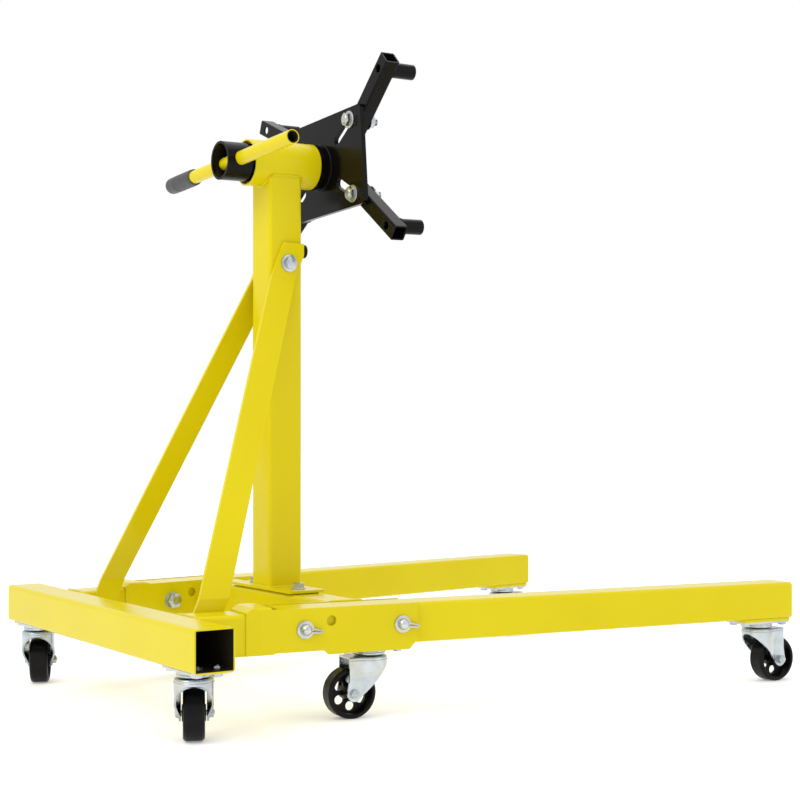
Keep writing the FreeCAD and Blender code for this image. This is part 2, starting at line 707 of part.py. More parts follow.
def spindle_collar():
    """The stepped collar that bears on the front of the sleeve."""
    body = new_body("SpindleCollar")
    profile = sketch(body, "XZ_Plane")
    start = "sleeve_front + 0.3"
    polygon(profile, ((start, "spindle_radius"), (start, "collar_radius"),
                      ("sleeve_front + 7", "collar_radius"), ("sleeve_front + 8", "collar_radius - 3"),
                      ("sleeve_front + 10", "collar_radius - 3"), ("sleeve_front + 11", "collar_radius"),
                      ("plate_rear", "collar_radius"), ("plate_rear", "spindle_radius")))
    turn_about(body, profile, "H_Axis")
    keep(body, "spindle_collar", head_frame())


def face_plate():
    """The slotted plate that the arms are clamped to."""
    body = new_body("FacePlate")
    profile = sketch(body, "YZ_Plane", "plate_rear")
    rounded_box(profile, "plate_width", "plate_height", "plate_corner")
    pad(body, profile, "plate_depth")
    slots = sketch(body, "YZ_Plane", "plate_rear")
    for y_sign, z_sign in ((1, 1), (-1, 1), (-1, -1), (1, -1)):
        ends = [(f"{y_sign} * {reach} * cos(slot_angle)", f"{z_sign} * {reach} * sin(slot_angle)")
                for reach in ("slot_inner", "slot_outer")]
        round_chain(slots, ends, "slot_radius")
    pocket(body, slots, "plate_depth", reverse=True)
    keep(body, "face_plate", head_frame())


def handle():
    """The tube through the spindle that turns the head, with a grip on its left end."""
    bar = new_body("HandleBar")
    profile = sketch(bar, "XZ_Plane", "-bar_far")
    circle(profile, "bar_radius", "-handle_x")
    circle(profile, "bar_bore", "-handle_x")
    pad(bar, profile, "bar_near + bar_far")
    keep(bar, "handle_bar", head_frame())

    grip = new_body("HandleGrip")
    outline = sketch(grip, "YZ_Plane")
    polygon(outline, (("grip_start", "bar_radius"), ("grip_start", "grip_radius - 1"),
                      ("grip_start + 2", "grip_radius"), ("grip_end - 7", "grip_radius"),
                      ("grip_end - 2", "grip_radius - 3"), ("grip_end", "grip_radius - 7"),
                      ("grip_end", "0"), ("bar_far", "0"), ("bar_far", "bar_radius")))
    turn_about(grip, outline, "H_Axis")
    keep(grip, "handle_grip", head_frame() * place("-handle_x", "0", "0"))


# name, side of the axis, above or below it, clamp bolt from the axis, slope of the arm
ARMS = (
    ("arm_upper_L", 1, 1, "115", 26),
    ("arm_upper_R", -1, 1, "115", 40),
    ("arm_lower_L", 1, -1, "115", 30),
    ("arm_lower_R", -1, -1, "115", 39),
)


def arm_frame(y_sign, z_sign, reach, slope):
    """The frame of one arm: origin on the plate's front under its clamp bolt, X outward."""
    spot = place("plate_rear + plate_depth", f"{y_sign} * {reach} * cos(slot_angle)",
                 f"{z_sign} * {reach} * sin(slot_angle)")
    outward = FreeCAD.Vector(0, y_sign * math.cos(math.radians(slope)),
                             z_sign * math.sin(math.radians(slope)))
    spot.Rotation = FreeCAD.Rotation(outward, FreeCAD.Vector(), ALONG, "ZXY")
    return head_frame() * spot


def arm(label, placement):
    """A square tube with a clamp bolt hole and, at its outer end, the engine bolt sleeve."""
    body = square_tube(label.title().replace("_", ""), "arm_side", "arm_wall", "arm_corner",
                       "arm_inner + arm_reach + arm_outer")
    holes = sketch(body, "XY_Plane")
    circle(holes, "clamp_radius + pin_fit", "arm_inner")
    pocket(body, holes, "2 * arm_side", symmetric=True)
    sleeve = sketch(body, "XY_Plane", "arm_side / 2")
    circle(sleeve, "arm_sleeve", "arm_inner + arm_reach")
    pad(body, sleeve, "arm_sleeve_length")
    bore = sketch(body, "XY_Plane", "-arm_side")
    circle(bore, "arm_bore", "arm_inner + arm_reach")
    pocket(body, bore, "2 * arm_side + arm_sleeve_length", reverse=True)
    keep(body, label, placement * place("-arm_inner", "0", "arm_side / 2"))


def arm_bolt(label, placement):
    """The flanged clamp bolt: head behind the plate, nut and washer on the arm."""
    seat = "-plate_depth"
    shank = "plate_depth + arm_side + flange_depth + clamp_head_depth + clamp_tail"
    head = hexagon("clamp_head", "clamp_head_depth",
                   place("0", "0", f"{seat} - flange_depth - clamp_head_depth"))
    collar = cylinder("flange_radius", "flange_depth", place("0", "0", f"{seat} - flange_depth"))
    stem = cylinder("clamp_radius", shank, place("0", "0", seat))
    nut_collar = cylinder("flange_radius", "flange_depth", place("0", "0", "arm_side + 0.1"))
    nut = hexagon("clamp_head", "clamp_head_depth", place("0", "0", "arm_side + 0.1 + flange_depth"))
    keep(fuse([head, collar, stem, nut_collar, nut]), label, placement)


# ---------------------------------------------------------------- folding legs and pins

def leg(name, side):
    """A leg tube, drilled for its pivot and slotted underneath to clear the lock pin."""
    body = square_tube(f"Leg{name}", "tube", "tube_wall", "tube_corner", "leg_behind + leg_ahead")
    pivot = sketch(body, "XZ_Plane")
    circle(pivot, "pin_radius + pin_fit", "leg_behind")
    pocket(body, pivot, "2 * tube", symmetric=True)
    seat = sketch(body, "XZ_Plane")
    lock = "leg_behind + lock_x"
    circle(seat, "pin_radius + seat_gap", lock)
    pocket(body, seat, "2 * tube", symmetric=True)
    mouth = sketch(body, "XZ_Plane")
    polygon(mouth, ((f"{lock} - mouth_rear", "-tube / 2 - 1"), (f"{lock} + mouth_front", "-tube / 2 - 1"),
                    (f"{lock} + pin_radius + seat_gap", "0"),
                    (f"{lock} - pin_radius - seat_gap", "0")))
    pocket(body, mouth, "2 * tube", symmetric=True)
    caster = caster_holes(body, "-tube / 4", centre_x="leg_behind + leg_caster_x")
    pocket(body, caster, "tube / 2")
    keep(body, f"leg_{name}", leg_frame(side) * place("-leg_behind", "0", "0"))


def leg_pad(name, side):
    """The plate welded under a leg's front end for its caster."""
    body = new_body(f"LegPad{name}")
    profile = sketch(body, "XY_Plane")
    rounded_box(profile, "caster_plate_length", "caster_plate_width", "2")
    pad(body, profile, "pad_depth")
    pocket(body, caster_holes(body, "pad_depth"), "pad_depth")
    offset = place("leg_caster_x", "0", "-tube / 2 - pad_depth")
    keep(body, f"leg_pad_{name}", leg_frame(side) * offset)


def pin_with_clip(inner, droop):
    """A pin along Z: washer at the origin, rounded end and clip outside, shank inside."""
    shank = cylinder("pin_radius", f"{inner} + washer_depth + dome_reach",
                     place("0", "0", f"-({inner})"))
    plate = cylinder("washer_radius", "washer_depth")
    dome = primitive("Sphere", {"Radius": "dome_radius"},
                     place("0", "0", "washer_depth + dome_reach - 2"))
    forward = turned(UP, size(droop)) * turned(ACROSS, 90)
    tail = primitive("Cone", {"Radius1": "clip_radius", "Radius2": "clip_radius * 0.7",
                              "Height": "clip_length"},
                     place("0", "0", "washer_depth + clip_radius + 0.4", forward))
    return fuse([shank, plate, dome, tail])


def pin_frame(side, x):
    """The frame of a pin on a bracket: origin on the outer cheek, Z outward, X forward."""
    outward = turned(ALONG, -90 * side)
    return leg_frame(side) * place(x, f"{side} * (tube / 2 + cheek_gap + cheek)", "0", outward)


def pins():
    """Both leg pivots, which stay in the frame, and the two lock pins, which pull out."""
    through = "tube + 2 * cheek_gap + 2 * cheek"
    pivots = []
    for name, side in SIDES:
        pin = pin_with_clip(f"{through} + pivot_tail", f"{side} * clip_turn")
        nut = hexagon("pivot_nut", "pivot_nut_depth",
                      place("0", "0", f"-({through}) - pivot_ring_depth - pivot_nut_depth"))
        ring = cylinder("pivot_ring", "pivot_ring_depth",
                        place("0", "0", f"-({through}) - pivot_ring_depth"))
        whole = fuse([pin, nut, ring])
        whole.Placement = pin_frame(side, "0")
        pivots.append(whole)
        lock = pin_with_clip(f"{through} + lock_tail", f"{side} * clip_turn")
        keep(lock, f"lock_pin_{name}", pin_frame(side, "lock_x"))
    keep(group(pivots), "pivot_pins")


# ---------------------------------------------------------------- casters

def caster_plate(placement):
    """A caster's top plate with its fixed race and its kingpin, on the floor's frame."""
    body = new_body("CasterPlate")
    profile = sketch(body, "XY_Plane", "frame_base - caster_plate_depth")
    rounded_box(profile, "caster_plate_length", "caster_plate_width", "5")
    pad(body, profile, "caster_plate_depth")
    pocket(body, caster_holes(body, "frame_base"), "caster_plate_depth")
    turned_part = sketch(body, "XZ_Plane")
    crown_base = "crown_top - fork_wall"
    polygon(turned_part, (
        ("0", "frame_base - caster_plate_depth"), ("race_radius", "frame_base - caster_plate_depth"),
        ("race_radius - 1", "race_top + 1"), ("race_radius - 3", "race_top"),
        ("kingpin_radius", "race_top"), ("kingpin_radius", f"{crown_base} - 0.3"),
        ("kingpin_radius + 3", f"{crown_base} - 0.3"), ("kingpin_radius + 2", f"{crown_base} - 3"),
        ("0", f"{crown_base} - 4")))
    turn_about(body, turned_part, "V_Axis")
    body.Placement = placement
    return body


def caster_bolts(placement, reach, nut=True):
    """Four bolts up through a caster plate by the given reach, with nuts at their ends."""
    pieces = []
    for x in ("caster_bolt_along", "-caster_bolt_along"):
        for y in ("caster_bolt_across", "-caster_bolt_across"):
            under = place(x, y, "frame_base - caster_plate_depth", turned(ALONG, 180))
            length = f"caster_plate_depth + {reach}" + (" + caster_nut_depth" if nut else "")
            pieces.append(hex_bolt("caster_bolt_radius", "caster_head", "caster_head_depth",
                                   length, placement * under))
            if nut:
                pieces.append(plain_nut("caster_head", "caster_nut_depth", "caster_bolt_radius",
                                        placement * place(x, y, f"frame_base + {reach}")))
    return pieces


def fork(label, placement):
    """The turning fork, one pressed hood: round in front, its sides closing in to the axle."""
    body = new_body("Fork")
    under = "wheel_radius - fork_foot - 1"
    for outline in crown_outlines(body, under, "fork_wall", "-trail - fork_foot - 1"):
        pad(body, outline, f"crown_top - ({under})")
    soften(body, rim_edges(body, "crown_top"), "crown_bend")
    for outline in crown_outlines(body, "crown_top - fork_wall", "0", "-3 * trail"):
        pocket(body, outline, "crown_top")
    trim = sketch(body, "XZ_Plane")
    polygon(trim, fork_outline())
    box_outline(trim, "-3 * trail", "3 * trail", "-trail", "2 * frame_base")
    pocket(body, trim, "4 * crown_radius", symmetric=True)
    kingpin = sketch(body, "XY_Plane", "crown_top + 1")
    circle(kingpin, "kingpin_radius + pin_fit")
    pocket(body, kingpin, "2 * fork_wall")
    axle_hole = sketch(body, "XZ_Plane")
    circle(axle_hole, "caster_bolt_radius + 0.1", "-trail", "wheel_radius")
    pocket(body, axle_hole, "4 * crown_radius", symmetric=True)
    keep(body, label, placement)


def crown_outlines(body, height, wall, rear):
    """The fork from above as two outlines: its round front, and its sides back to the axle."""
    reach = f"(crown_radius - fork_wall + {wall})"
    foot = f"(fork_gap / 2 + {wall})"
    front = sketch(body, "XY_Plane", height)
    circle(front, reach)
    sides = sketch(body, "XY_Plane", height)
    half = [(f"{reach} * cos(crown_turn)", f"{reach} * sin(crown_turn)"),
            ("-trail + fork_foot", foot), (rear, foot)]
    polygon(sides, half + [(x, f"-{y}") for x, y in half[::-1]])
    return front, sides


def rim_edges(body, height):
    """Names of all the edges that lie level at one height."""
    doc.recompute()
    level = size(height)
    return [f"Edge{number}" for number, edge in enumerate(body.Tip.Shape.Edges, 1)
            if abs(edge.BoundBox.ZMin - level) < 0.01 and abs(edge.BoundBox.ZMax - level) < 0.01]


def fork_outline():
    """The fork from the side: upright behind, slanting in front, round about the axle."""
    points = [("-fork_rear", "crown_top + 1"), ("-fork_rear", "wheel_radius + 20")]
    foot_steps, foot_turn = 8, 144
    for step in range(foot_steps + 1):
        angle = f"({180 + foot_turn * step / foot_steps})"
        points.append((f"-trail + fork_foot * cos({angle})",
                       f"wheel_radius + fork_foot * sin({angle})"))
    return points + [("fork_front", "crown_top - 10"), ("crown_radius + 1", "crown_top - 8"),
                     ("crown_radius + 1", "crown_top + 1")]


def axle(label, placement):
    """The bolt that the wheel turns on, with its nut."""
    half = "fork_gap / 2 + fork_wall"
    across = turned(ALONG, -90)
    stem = cylinder("caster_bolt_radius", f"2 * ({half}) + axle_nut_depth + axle_tail",
                    place("-trail", f"-({half})", "wheel_radius", across))
    head = hexagon("caster_head", "axle_head_depth",
                   place("-trail", f"-({half}) - axle_head_depth", "wheel_radius", across))
    nut = hexagon("caster_head", "axle_nut_depth", place("-trail", half, "wheel_radius", across))
    keep(fuse([stem, head, nut]), label, placement)


def wheel(label, placement):
    """A moulded wheel: tread, rim, holed web and hub, bored for the axle."""
    body = new_body("Wheel")
    profile = sketch(body, "YZ_Plane")
    tread, web, hub = "wheel_width / 2", "wheel_web / 2", "hub_width / 2"
    bore = "caster_bolt_radius + pin_fit"
    half = ((hub, bore), (hub, "hub_radius - 1"), (f"{hub} - 1", "hub_radius"),
            (web, "hub_radius + 1.5"), (web, "rim_inner - 1.5"), (f"{tread} - 1", "rim_inner"),
            (tread, "rim_inner + 1"), (tread, "wheel_radius - 4"),
            (f"{tread} - 1.2", "wheel_radius - 1.6"), (f"{tread} - 4", "wheel_radius"))
    other = tuple((f"-({y})", z) for y, z in reversed(half))
    polygon(profile, half + other)
    turn_about(body, profile, "H_Axis")
    hole = sketch(body, "XZ_Plane")
    circle(hole, "wheel_hole", "0", "-wheel_hole_ring")
    drilled = pocket(body, hole, "2 * wheel_width", symmetric=True)
    ring = body.newObject("PartDesign::PolarPattern", "PolarPattern")
    ring.Originals = [drilled]
    ring.Axis = (hole, ["N_Axis"])
    ring.Angle = 360
    bind(ring, {"Occurrences": "wheel_holes"})
    body.Tip = ring
    keep(body, label, placement * place("-trail", "0", "wheel_radius"))


def caster_places():
    """Name, place of the plate and rest place of the fork of each caster."""
    places = []
    for name, side in SIDES:
        rear = stand("tube / 2", f"{side} * rear_caster_y", "0")
        places.append((f"rear_{name}", rear * place("0", "0", "0", turned(UP, 90)),
                       rear * place("0", "0", "0", turned(UP, size("rear_heading")))))
        middle = leg_frame(side) * place("mid_caster_x", "0", "-leg_middle")
        places.append((f"mid_{name}", middle, middle))
        front = leg_frame(side) * place("leg_caster_x", "0", "-leg_middle")
        turn = turned(UP, side * size("leg_heading"))
        places.append((f"leg_{name}", front, front * place("0", "0", "0", turn)))
    return places


def casters():
    """Six swivel casters: plates and bolts grouped by what they are bolted to."""
    plates, bolts = [], []
    for name, flat, aimed in caster_places():
        if name.startswith("leg"):
            keep(caster_plate(flat), f"caster_plate_{name}")
            keep(group(caster_bolts(flat, "pad_depth + tube_wall")), f"caster_bolts_{name}")
        elif name.startswith("rear"):
            plates.append(caster_plate(flat))
            bolts += caster_bolts(flat, "tube_wall")
        else:
            plates.append(caster_plate(flat))
            bolts += caster_bolts(flat, "cheek - caster_bolt_sunk", nut=False)
        fork(f"fork_{name}", aimed)
        axle(f"axle_{name}", aimed)
        wheel(f"wheel_{name}", aimed)
    keep(group(plates), "caster_plates_frame")
    keep(group(bolts), "caster_bolts_frame")


# ---------------------------------------------------------------- build, check and write

def build():
    rear_cross_tube()
    for name, side in SIDES:
        side_member(name, side)
        bracket(name, side)
        leg(name, side)
        leg_pad(name, side)
        brace(name, side)
    mid_cross_tube()
    mast_base()
    mast_base_bolts()
    mast_post()
    head_sleeve()
    brace_bolt()
    spindle_tube()
    spindle_collar()
    face_plate()
    handle()
    for label, y_sign, z_sign, reach, slope in ARMS:
        placement = arm_frame(y_sign, z_sign, reach, slope)
        arm(label, placement)
        arm_bolt(label.replace("arm", "arm_bolt"), placement)
    pins()
    casters()
    doc.recompute()


def check():
    """Stop if any object failed, any pocket cut nothing, or any sub-part is not sound."""
    for item in doc.Objects:
        if "Invalid" in item.State or "Error" in item.State:
            raise RuntimeError(f"{item.Name} ({item.Label}) is {item.State}")
        if item.TypeId == "PartDesign::Pocket":
            if item.Shape.Volume > item.BaseFeature.Shape.Volume - 1:
                raise RuntimeError(f"{item.Name} cuts nothing")
    for item in nodes:
        if item.Shape.isNull() or not item.Shape.isValid() or not item.Shape.Solids:
            raise RuntimeError(f"{item.Label} is not a sound solid")


def write():
    os.makedirs("parts", exist_ok=True)
    for item in nodes:
        item.Shape.exportStep(f"parts/{item.Label}.step")


fill_sheet()
build()
check()
write()
print(len(nodes), "sub-parts written")
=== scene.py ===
import bmesh
import bpy
import json
import math
from mathutils import Matrix, Vector


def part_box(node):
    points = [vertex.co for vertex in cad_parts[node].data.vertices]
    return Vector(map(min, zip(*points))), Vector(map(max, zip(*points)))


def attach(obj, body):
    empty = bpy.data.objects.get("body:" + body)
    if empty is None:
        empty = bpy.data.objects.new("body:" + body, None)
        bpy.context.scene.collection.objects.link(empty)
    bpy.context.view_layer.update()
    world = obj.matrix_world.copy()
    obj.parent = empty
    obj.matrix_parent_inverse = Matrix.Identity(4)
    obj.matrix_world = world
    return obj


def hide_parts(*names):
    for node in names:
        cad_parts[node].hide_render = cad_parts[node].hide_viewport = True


# A folding engine stand, dressed for rendering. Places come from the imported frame; sizes that it
# doesn't state are named in millimetres, and MM turns them into metres.

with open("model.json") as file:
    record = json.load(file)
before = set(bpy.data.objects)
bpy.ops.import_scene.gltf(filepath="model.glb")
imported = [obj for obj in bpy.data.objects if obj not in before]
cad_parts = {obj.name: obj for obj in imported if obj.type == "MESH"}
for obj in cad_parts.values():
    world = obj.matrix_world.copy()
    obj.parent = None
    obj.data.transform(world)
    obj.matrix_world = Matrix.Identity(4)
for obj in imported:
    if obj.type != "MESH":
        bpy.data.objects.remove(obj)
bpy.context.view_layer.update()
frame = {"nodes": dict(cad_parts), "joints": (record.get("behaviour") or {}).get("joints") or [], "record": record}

MM = 0.001
ROUND = 48          # points round a turned piece, a multiple of six
SMOOTH_LIMIT = 32   # edges that turn more than this many degrees stay sharp
JOINTS = {joint["name"]: joint for joint in frame["joints"]}
MOUNTS = {mount["name"]: mount for mount in frame["record"]["mounts"]}
SIDES = (("L", 1), ("R", -1))
ARMS = ("upper_L", "upper_R", "lower_L", "lower_R")
CASTERS = ("rear_L", "rear_R", "mid_L", "mid_R", "leg_L", "leg_R")

TUBE = 60           # side of the frame tube
TUBE_WALL = 3
TUBE_CORNER = 6
CHEEK_OUT = 36      # outer cheek face of a bracket, from the leg's middle
PIN_THROUGH = 72    # a pin's grip, cheek face to cheek face
LOCK_AHEAD = 154.5  # lock pin ahead of the leg pivot
PLATE_DEPTH = 8     # face plate
ARM_SIDE = 25       # square arm tube
PLATE_UNDER = 101   # underside of a caster plate, above the floor
PLATE_OVER = 104    # its top
CROWN = 27          # radius of a fork's round front
FORK_SIDE = 20.6    # outer face of a fork's side plate, from the wheel's middle
CASTER_BOLT_ALONG = 39.5    # a caster's bolts, along the tube from the kingpin
CASTER_BOLT_ASIDE = 15      # and across it
BAR_RADIUS = 11     # handle bar
SLEEVE_RADIUS = 37  # head sleeve
BOLT = 6            # shank radius of the large bolts
BOLT_FLAT = 9.1     # their hexagon, centre to flat
FLANGE = 14         # their flange radius
FLANGE_DEPTH = 2.5


# ---------------------------------------------------------------- places taken from the frame

def axes(origin, x, y):
    """A place from its origin and two unit directions at right angles."""
    z = x.cross(y)
    place = Matrix((x, y, z)).transposed().to_4x4()
    place.translation = origin
    return place


def joint_at(name):
    return Vector(JOINTS[name]["pos_m"])


def joint_axis(name):
    return Vector(JOINTS[name]["axis"]).normalized()


def head_place():
    """Origin over the mast on the spindle's axis, X along the spindle."""
    return axes(joint_at("head_spin"), joint_axis("head_spin"), joint_axis("handle_slide"))


def leg_place(side):
    """Origin on a leg's pivot, X forward along the leg."""
    across = -joint_axis(f"leg_fold_{side}")
    return axes(joint_at(f"leg_fold_{side}"), across.cross(Vector((0, 0, 1))), across)


def arm_place(arm):
    """Origin where an arm's clamp bolt leaves the plate, Z away from the plate, X along the arm."""
    forward = joint_axis(f"arm_swing_{arm}")
    out = Vector(MOUNTS[f"engine_bolt_{arm}"]["pos_m"]) - joint_at(f"arm_swing_{arm}")
    out = (out - forward * out.dot(forward)).normalized()
    return axes(joint_at(f"arm_swing_{arm}"), out, forward.cross(out))


def caster_place(caster):
    """Origin on the floor under a kingpin, Y along the axle; the wheel trails towards -X."""
    across = joint_axis(f"wheel_spin_{caster}")
    spot = joint_at(f"swivel_{caster}")
    return axes(Vector((spot.x, spot.y, 0)), across.cross(Vector((0, 0, 1))), across)


def plate_place(caster):
    """Origin on the floor under a kingpin, X along the tube that the caster is bolted to."""
    spot = joint_at(f"swivel_{caster}")
    origin = Vector((spot.x, spot.y, 0))
    if caster.startswith("rear"):
        return axes(origin, Vector((0, 1, 0)), Vector((-1, 0, 0)))
    place = leg_place(caster[-1])
    place.translation = origin
    return place


def pin_place(side, ahead):
    """Origin on the outer cheek at a pin, Z outward, X forward."""
    sign = 1 if side == "L" else -1
    leg = leg_place(side)
    forward, across = leg.col[0].to_3d(), leg.col[1].to_3d() * sign
    spot = leg @ Vector((ahead * MM, sign * CHEEK_OUT * MM, 0))
    return axes(spot, forward, across.cross(forward))


# ---------------------------------------------------------------- mesh tools

def add_piece(name, mesh, body, material, replaces=(), limit=SMOOTH_LIMIT):
    """Put a finished mesh in the scene, smooth up to an angle, riding on its body."""
    mesh.materials.append(material)
    mesh.shade_smooth()
    mesh.set_sharp_from_angle(angle=math.radians(limit))
    piece = bpy.data.objects.new(name, mesh)
    bpy.context.scene.collection.objects.link(piece)
    if replaces:
        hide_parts(*replaces)
    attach(piece, body)
    return piece


def mesh_from(build, name):
    """A mesh made by a function that fills a bmesh, with its normals facing out."""
    bm = bmesh.new()
    build(bm)
    bmesh.ops.remove_doubles(bm, verts=bm.verts, dist=1e-6)
    bmesh.ops.recalc_face_normals(bm, faces=bm.faces)
    mesh = bpy.data.meshes.new(name)
    bm.to_mesh(mesh)
    bm.free()
    return mesh


def level(radius, height, kind="round"):
    """One level of a turned or hexagonal piece; a hexagon's radius is to the middle of a flat."""
    points = []
    for step in range(ROUND):
        angle = 2 * math.pi * step / ROUND
        reach = radius
        if kind == "hex":
            reach /= math.cos(angle % (math.pi / 3) - math.pi / 6)
        points.append(Vector((reach * math.cos(angle), reach * math.sin(angle), height)))
    return points


def chamfered(flat, height, towards):
    """The edge of a hexagon where a cone has taken its corners off."""
    slant = math.tan(math.radians(30))
    points = level(flat, height, "hex")
    for point in points:
        point.z -= towards * (point.to_2d().length - flat * 0.97) * slant
    return points


def stack(bm, levels, place, closed=False):
    """Skin a row of levels, given in millimetres, into a solid or, if closed, into a ring."""
    rings = [[bm.verts.new(place @ (point * MM)) for point in points] for points in levels]
    pairs = list(zip(rings, rings[1:]))
    if closed:
        pairs.append((rings[-1], rings[0]))
    for lower, upper in pairs:
        for step in range(len(lower)):
            other = (step + 1) % len(lower)
            bm.faces.new((lower[step], lower[other], upper[other], upper[step]))
    if not closed:
        bm.faces.new(rings[0][::-1])
        bm.faces.new(rings[-1])


def turned(profile):
    """Levels of a turned piece from (radius, height) pairs."""
    return [level(radius, height) for radius, height in profile]


def hexagon(flat, low, high, below=True, above=True):
    """Levels of a nut or bolt head, with its corners taken off at the free ends."""
    levels = [level(flat * 0.97, low), chamfered(flat, low, -1)] if below else [level(flat, low, "hex")]
    if above:
        return levels + [chamfered(flat, high, 1), level(flat * 0.97, high)]
    return levels + [level(flat, high, "hex")]


def flange(radius, low, high, soft=0.5):
    """Levels of a round flange or washer with softened edges."""
    return turned([(radius - soft, low), (radius - soft * 0.3, low + soft * 0.3), (radius, low + soft),
                   (radius, high - soft), (radius - soft * 0.3, high - soft * 0.3),
                   (radius - soft, high)])


def thread(radius, low, high, pitch=1.5):
    """Levels of a threaded end: a crest and a root for every pitch, and a chamfered tip."""
    turns = max(1, int((high - low) / pitch))
    step = (high - low) / turns
    profile = []
    for turn in range(turns):
        start = low + turn * step
        profile += [(radius - 0.75, start), (radius, start + step * 0.45), (radius, start + step * 0.55)]
    return turned(profile + [(radius - 1.2, high)])


def dome(radius, base, height, steps=6):
    """Levels of a rounded end."""
    profile = []
    for step in range(steps + 1):
        angle = math.pi / 2 * step / steps
        profile.append((max(radius * math.cos(angle), 0.05), base + height * math.sin(angle)))
    return turned(profile)


def flipped(levels):
    """The same levels upside down."""
    return [[Vector((point.x, point.y, -point.z)) for point in points] for points in levels[::-1]]


def resampled(points, step, closed):
    """Points spaced evenly along a run of straight stretches."""
    runs = list(zip(points, points[1:] + points[:1])) if closed else list(zip(points, points[1:]))
    spots = []
    for start, end in runs:
        count = max(1, round((end - start).length / step))
        spots += [start.lerp(end, number / count) for number in range(count)]
    return spots if closed else spots + [points[-1]]


def tube_along(bm, spots, radii, closed=False, sides=10):
    """A round bar along a line of points, in metres, with a radius at each point."""
    count = len(spots)
    rings = []
    across = None
    for number, spot in enumerate(spots):
        before = spots[number - 1] if closed or number else spot
        after = spots[(number + 1) % count] if closed or number < count - 1 else spot
        along = (after - before).normalized()
        if across is None:
            across = along.orthogonal()
        across = (across - along * across.dot(along)).normalized()
        other = along.cross(across)
        ring = []
        for step in range(sides):
            angle = 2 * math.pi * step / sides
            offset = across * math.cos(angle) + other * math.sin(angle)
            ring.append(bm.verts.new(spot + offset * radii[number]))
        rings.append(ring)
    pairs = list(zip(rings, rings[1:]))
    for lower, upper in pairs:
        for step in range(sides):
            other = (step + 1) % sides
            bm.faces.new((lower[step], lower[other], upper[other], upper[step]))
    if closed:
        first, last = rings[0], rings[-1]
        shift = min(range(sides), key=lambda turn: (last[0].co - first[turn].co).length)
        for step in range(sides):
            here, there = (step + shift) % sides, (step + 1 + shift) % sides
            bm.faces.new((last[step], last[(step + 1) % sides], first[there], first[here]))
    else:
        bm.faces.new(rings[0][::-1])
        bm.faces.new(rings[-1])


# ---------------------------------------------------------------- materials

def new_material(name):
    material = bpy.data.materials.new(name)
    material.use_nodes = True
    nodes = material.node_tree.nodes
    return material, nodes, material.node_tree.links, nodes["Principled BSDF"]


def rest_coordinates(nodes):
    """Coordinates in metres that stay with the piece as it moves."""
    return nodes.new("ShaderNodeTexCoord").outputs["Object"]


def noise_of(nodes, links, vector, scale, detail=3.0, roughness=0.5):
    item = nodes.new("ShaderNodeTexNoise")
    item.inputs["Scale"].default_value = scale
    item.inputs["Detail"].default_value = detail
    item.inputs["Roughness"].default_value = roughness
    links.new(vector, item.inputs["Vector"])
    return item.outputs["Fac"]


def spread(nodes, links, value, low, high, new_low, new_high):
    """Remap a value from one range to another."""
    item = nodes.new("ShaderNodeMapRange")
    item.inputs["From Min"].default_value = low
    item.inputs["From Max"].default_value = high
    item.inputs["To Min"].default_value = new_low
    item.inputs["To Max"].default_value = new_high
    links.new(value, item.inputs["Value"])
    return item.outputs["Result"]


COLOUR_SOCKETS = (6, 7)     # the two colour inputs of a mix node, among its inputs of every kind
COLOUR_RESULT = 2


def blend_colours(nodes, links, factor, first, second):
    """Mix two colours, each a colour or a socket, by a factor."""
    item = nodes.new("ShaderNodeMix")
    item.data_type = "RGBA"
    links.new(factor, item.inputs["Factor"])
    for socket, colour in zip(COLOUR_SOCKETS, (first, second)):
        if isinstance(colour, tuple):
            item.inputs[socket].default_value = (*colour, 1)
        else:
            links.new(colour, item.inputs[socket])
    return item.outputs[COLOUR_RESULT]


def arithmetic(nodes, links, operation, first, second=None):
    """One step of arithmetic on sockets or numbers."""
    item = nodes.new("ShaderNodeMath")
    item.operation = operation
    for number, value in enumerate((first, second)):
        if value is None:
            continue
        if isinstance(value, (int, float)):
            item.inputs[number].default_value = value
        else:
            links.new(value, item.inputs[number])
    return item.outputs[0]


def bump(nodes, links, height, distance, strength, under=None):
    item = nodes.new("ShaderNodeBump")
    item.inputs["Distance"].default_value = distance
    item.inputs["Strength"].default_value = strength
    links.new(height, item.inputs["Height"])
    if under is not None:
        links.new(under, item.inputs["Normal"])
    return item.outputs["Normal"]


def edge_mask(nodes, links, radius, noise_value):
    """High along sharp edges, broken up by noise."""
    rounded = nodes.new("ShaderNodeBevel")
    rounded.samples = 4
    rounded.inputs["Radius"].default_value = radius
    plain = nodes.new("ShaderNodeNewGeometry")
    product = nodes.new("ShaderNodeVectorMath")
    product.operation = "DOT_PRODUCT"
    links.new(rounded.outputs["Normal"], product.inputs[0])
    links.new(plain.outputs["Normal"], product.inputs[1])
    worn = spread(nodes, links, product.outputs["Value"], 0.985, 0.80, 0.0, 1.0)
    return arithmetic(nodes, links, "MULTIPLY", worn, noise_value)


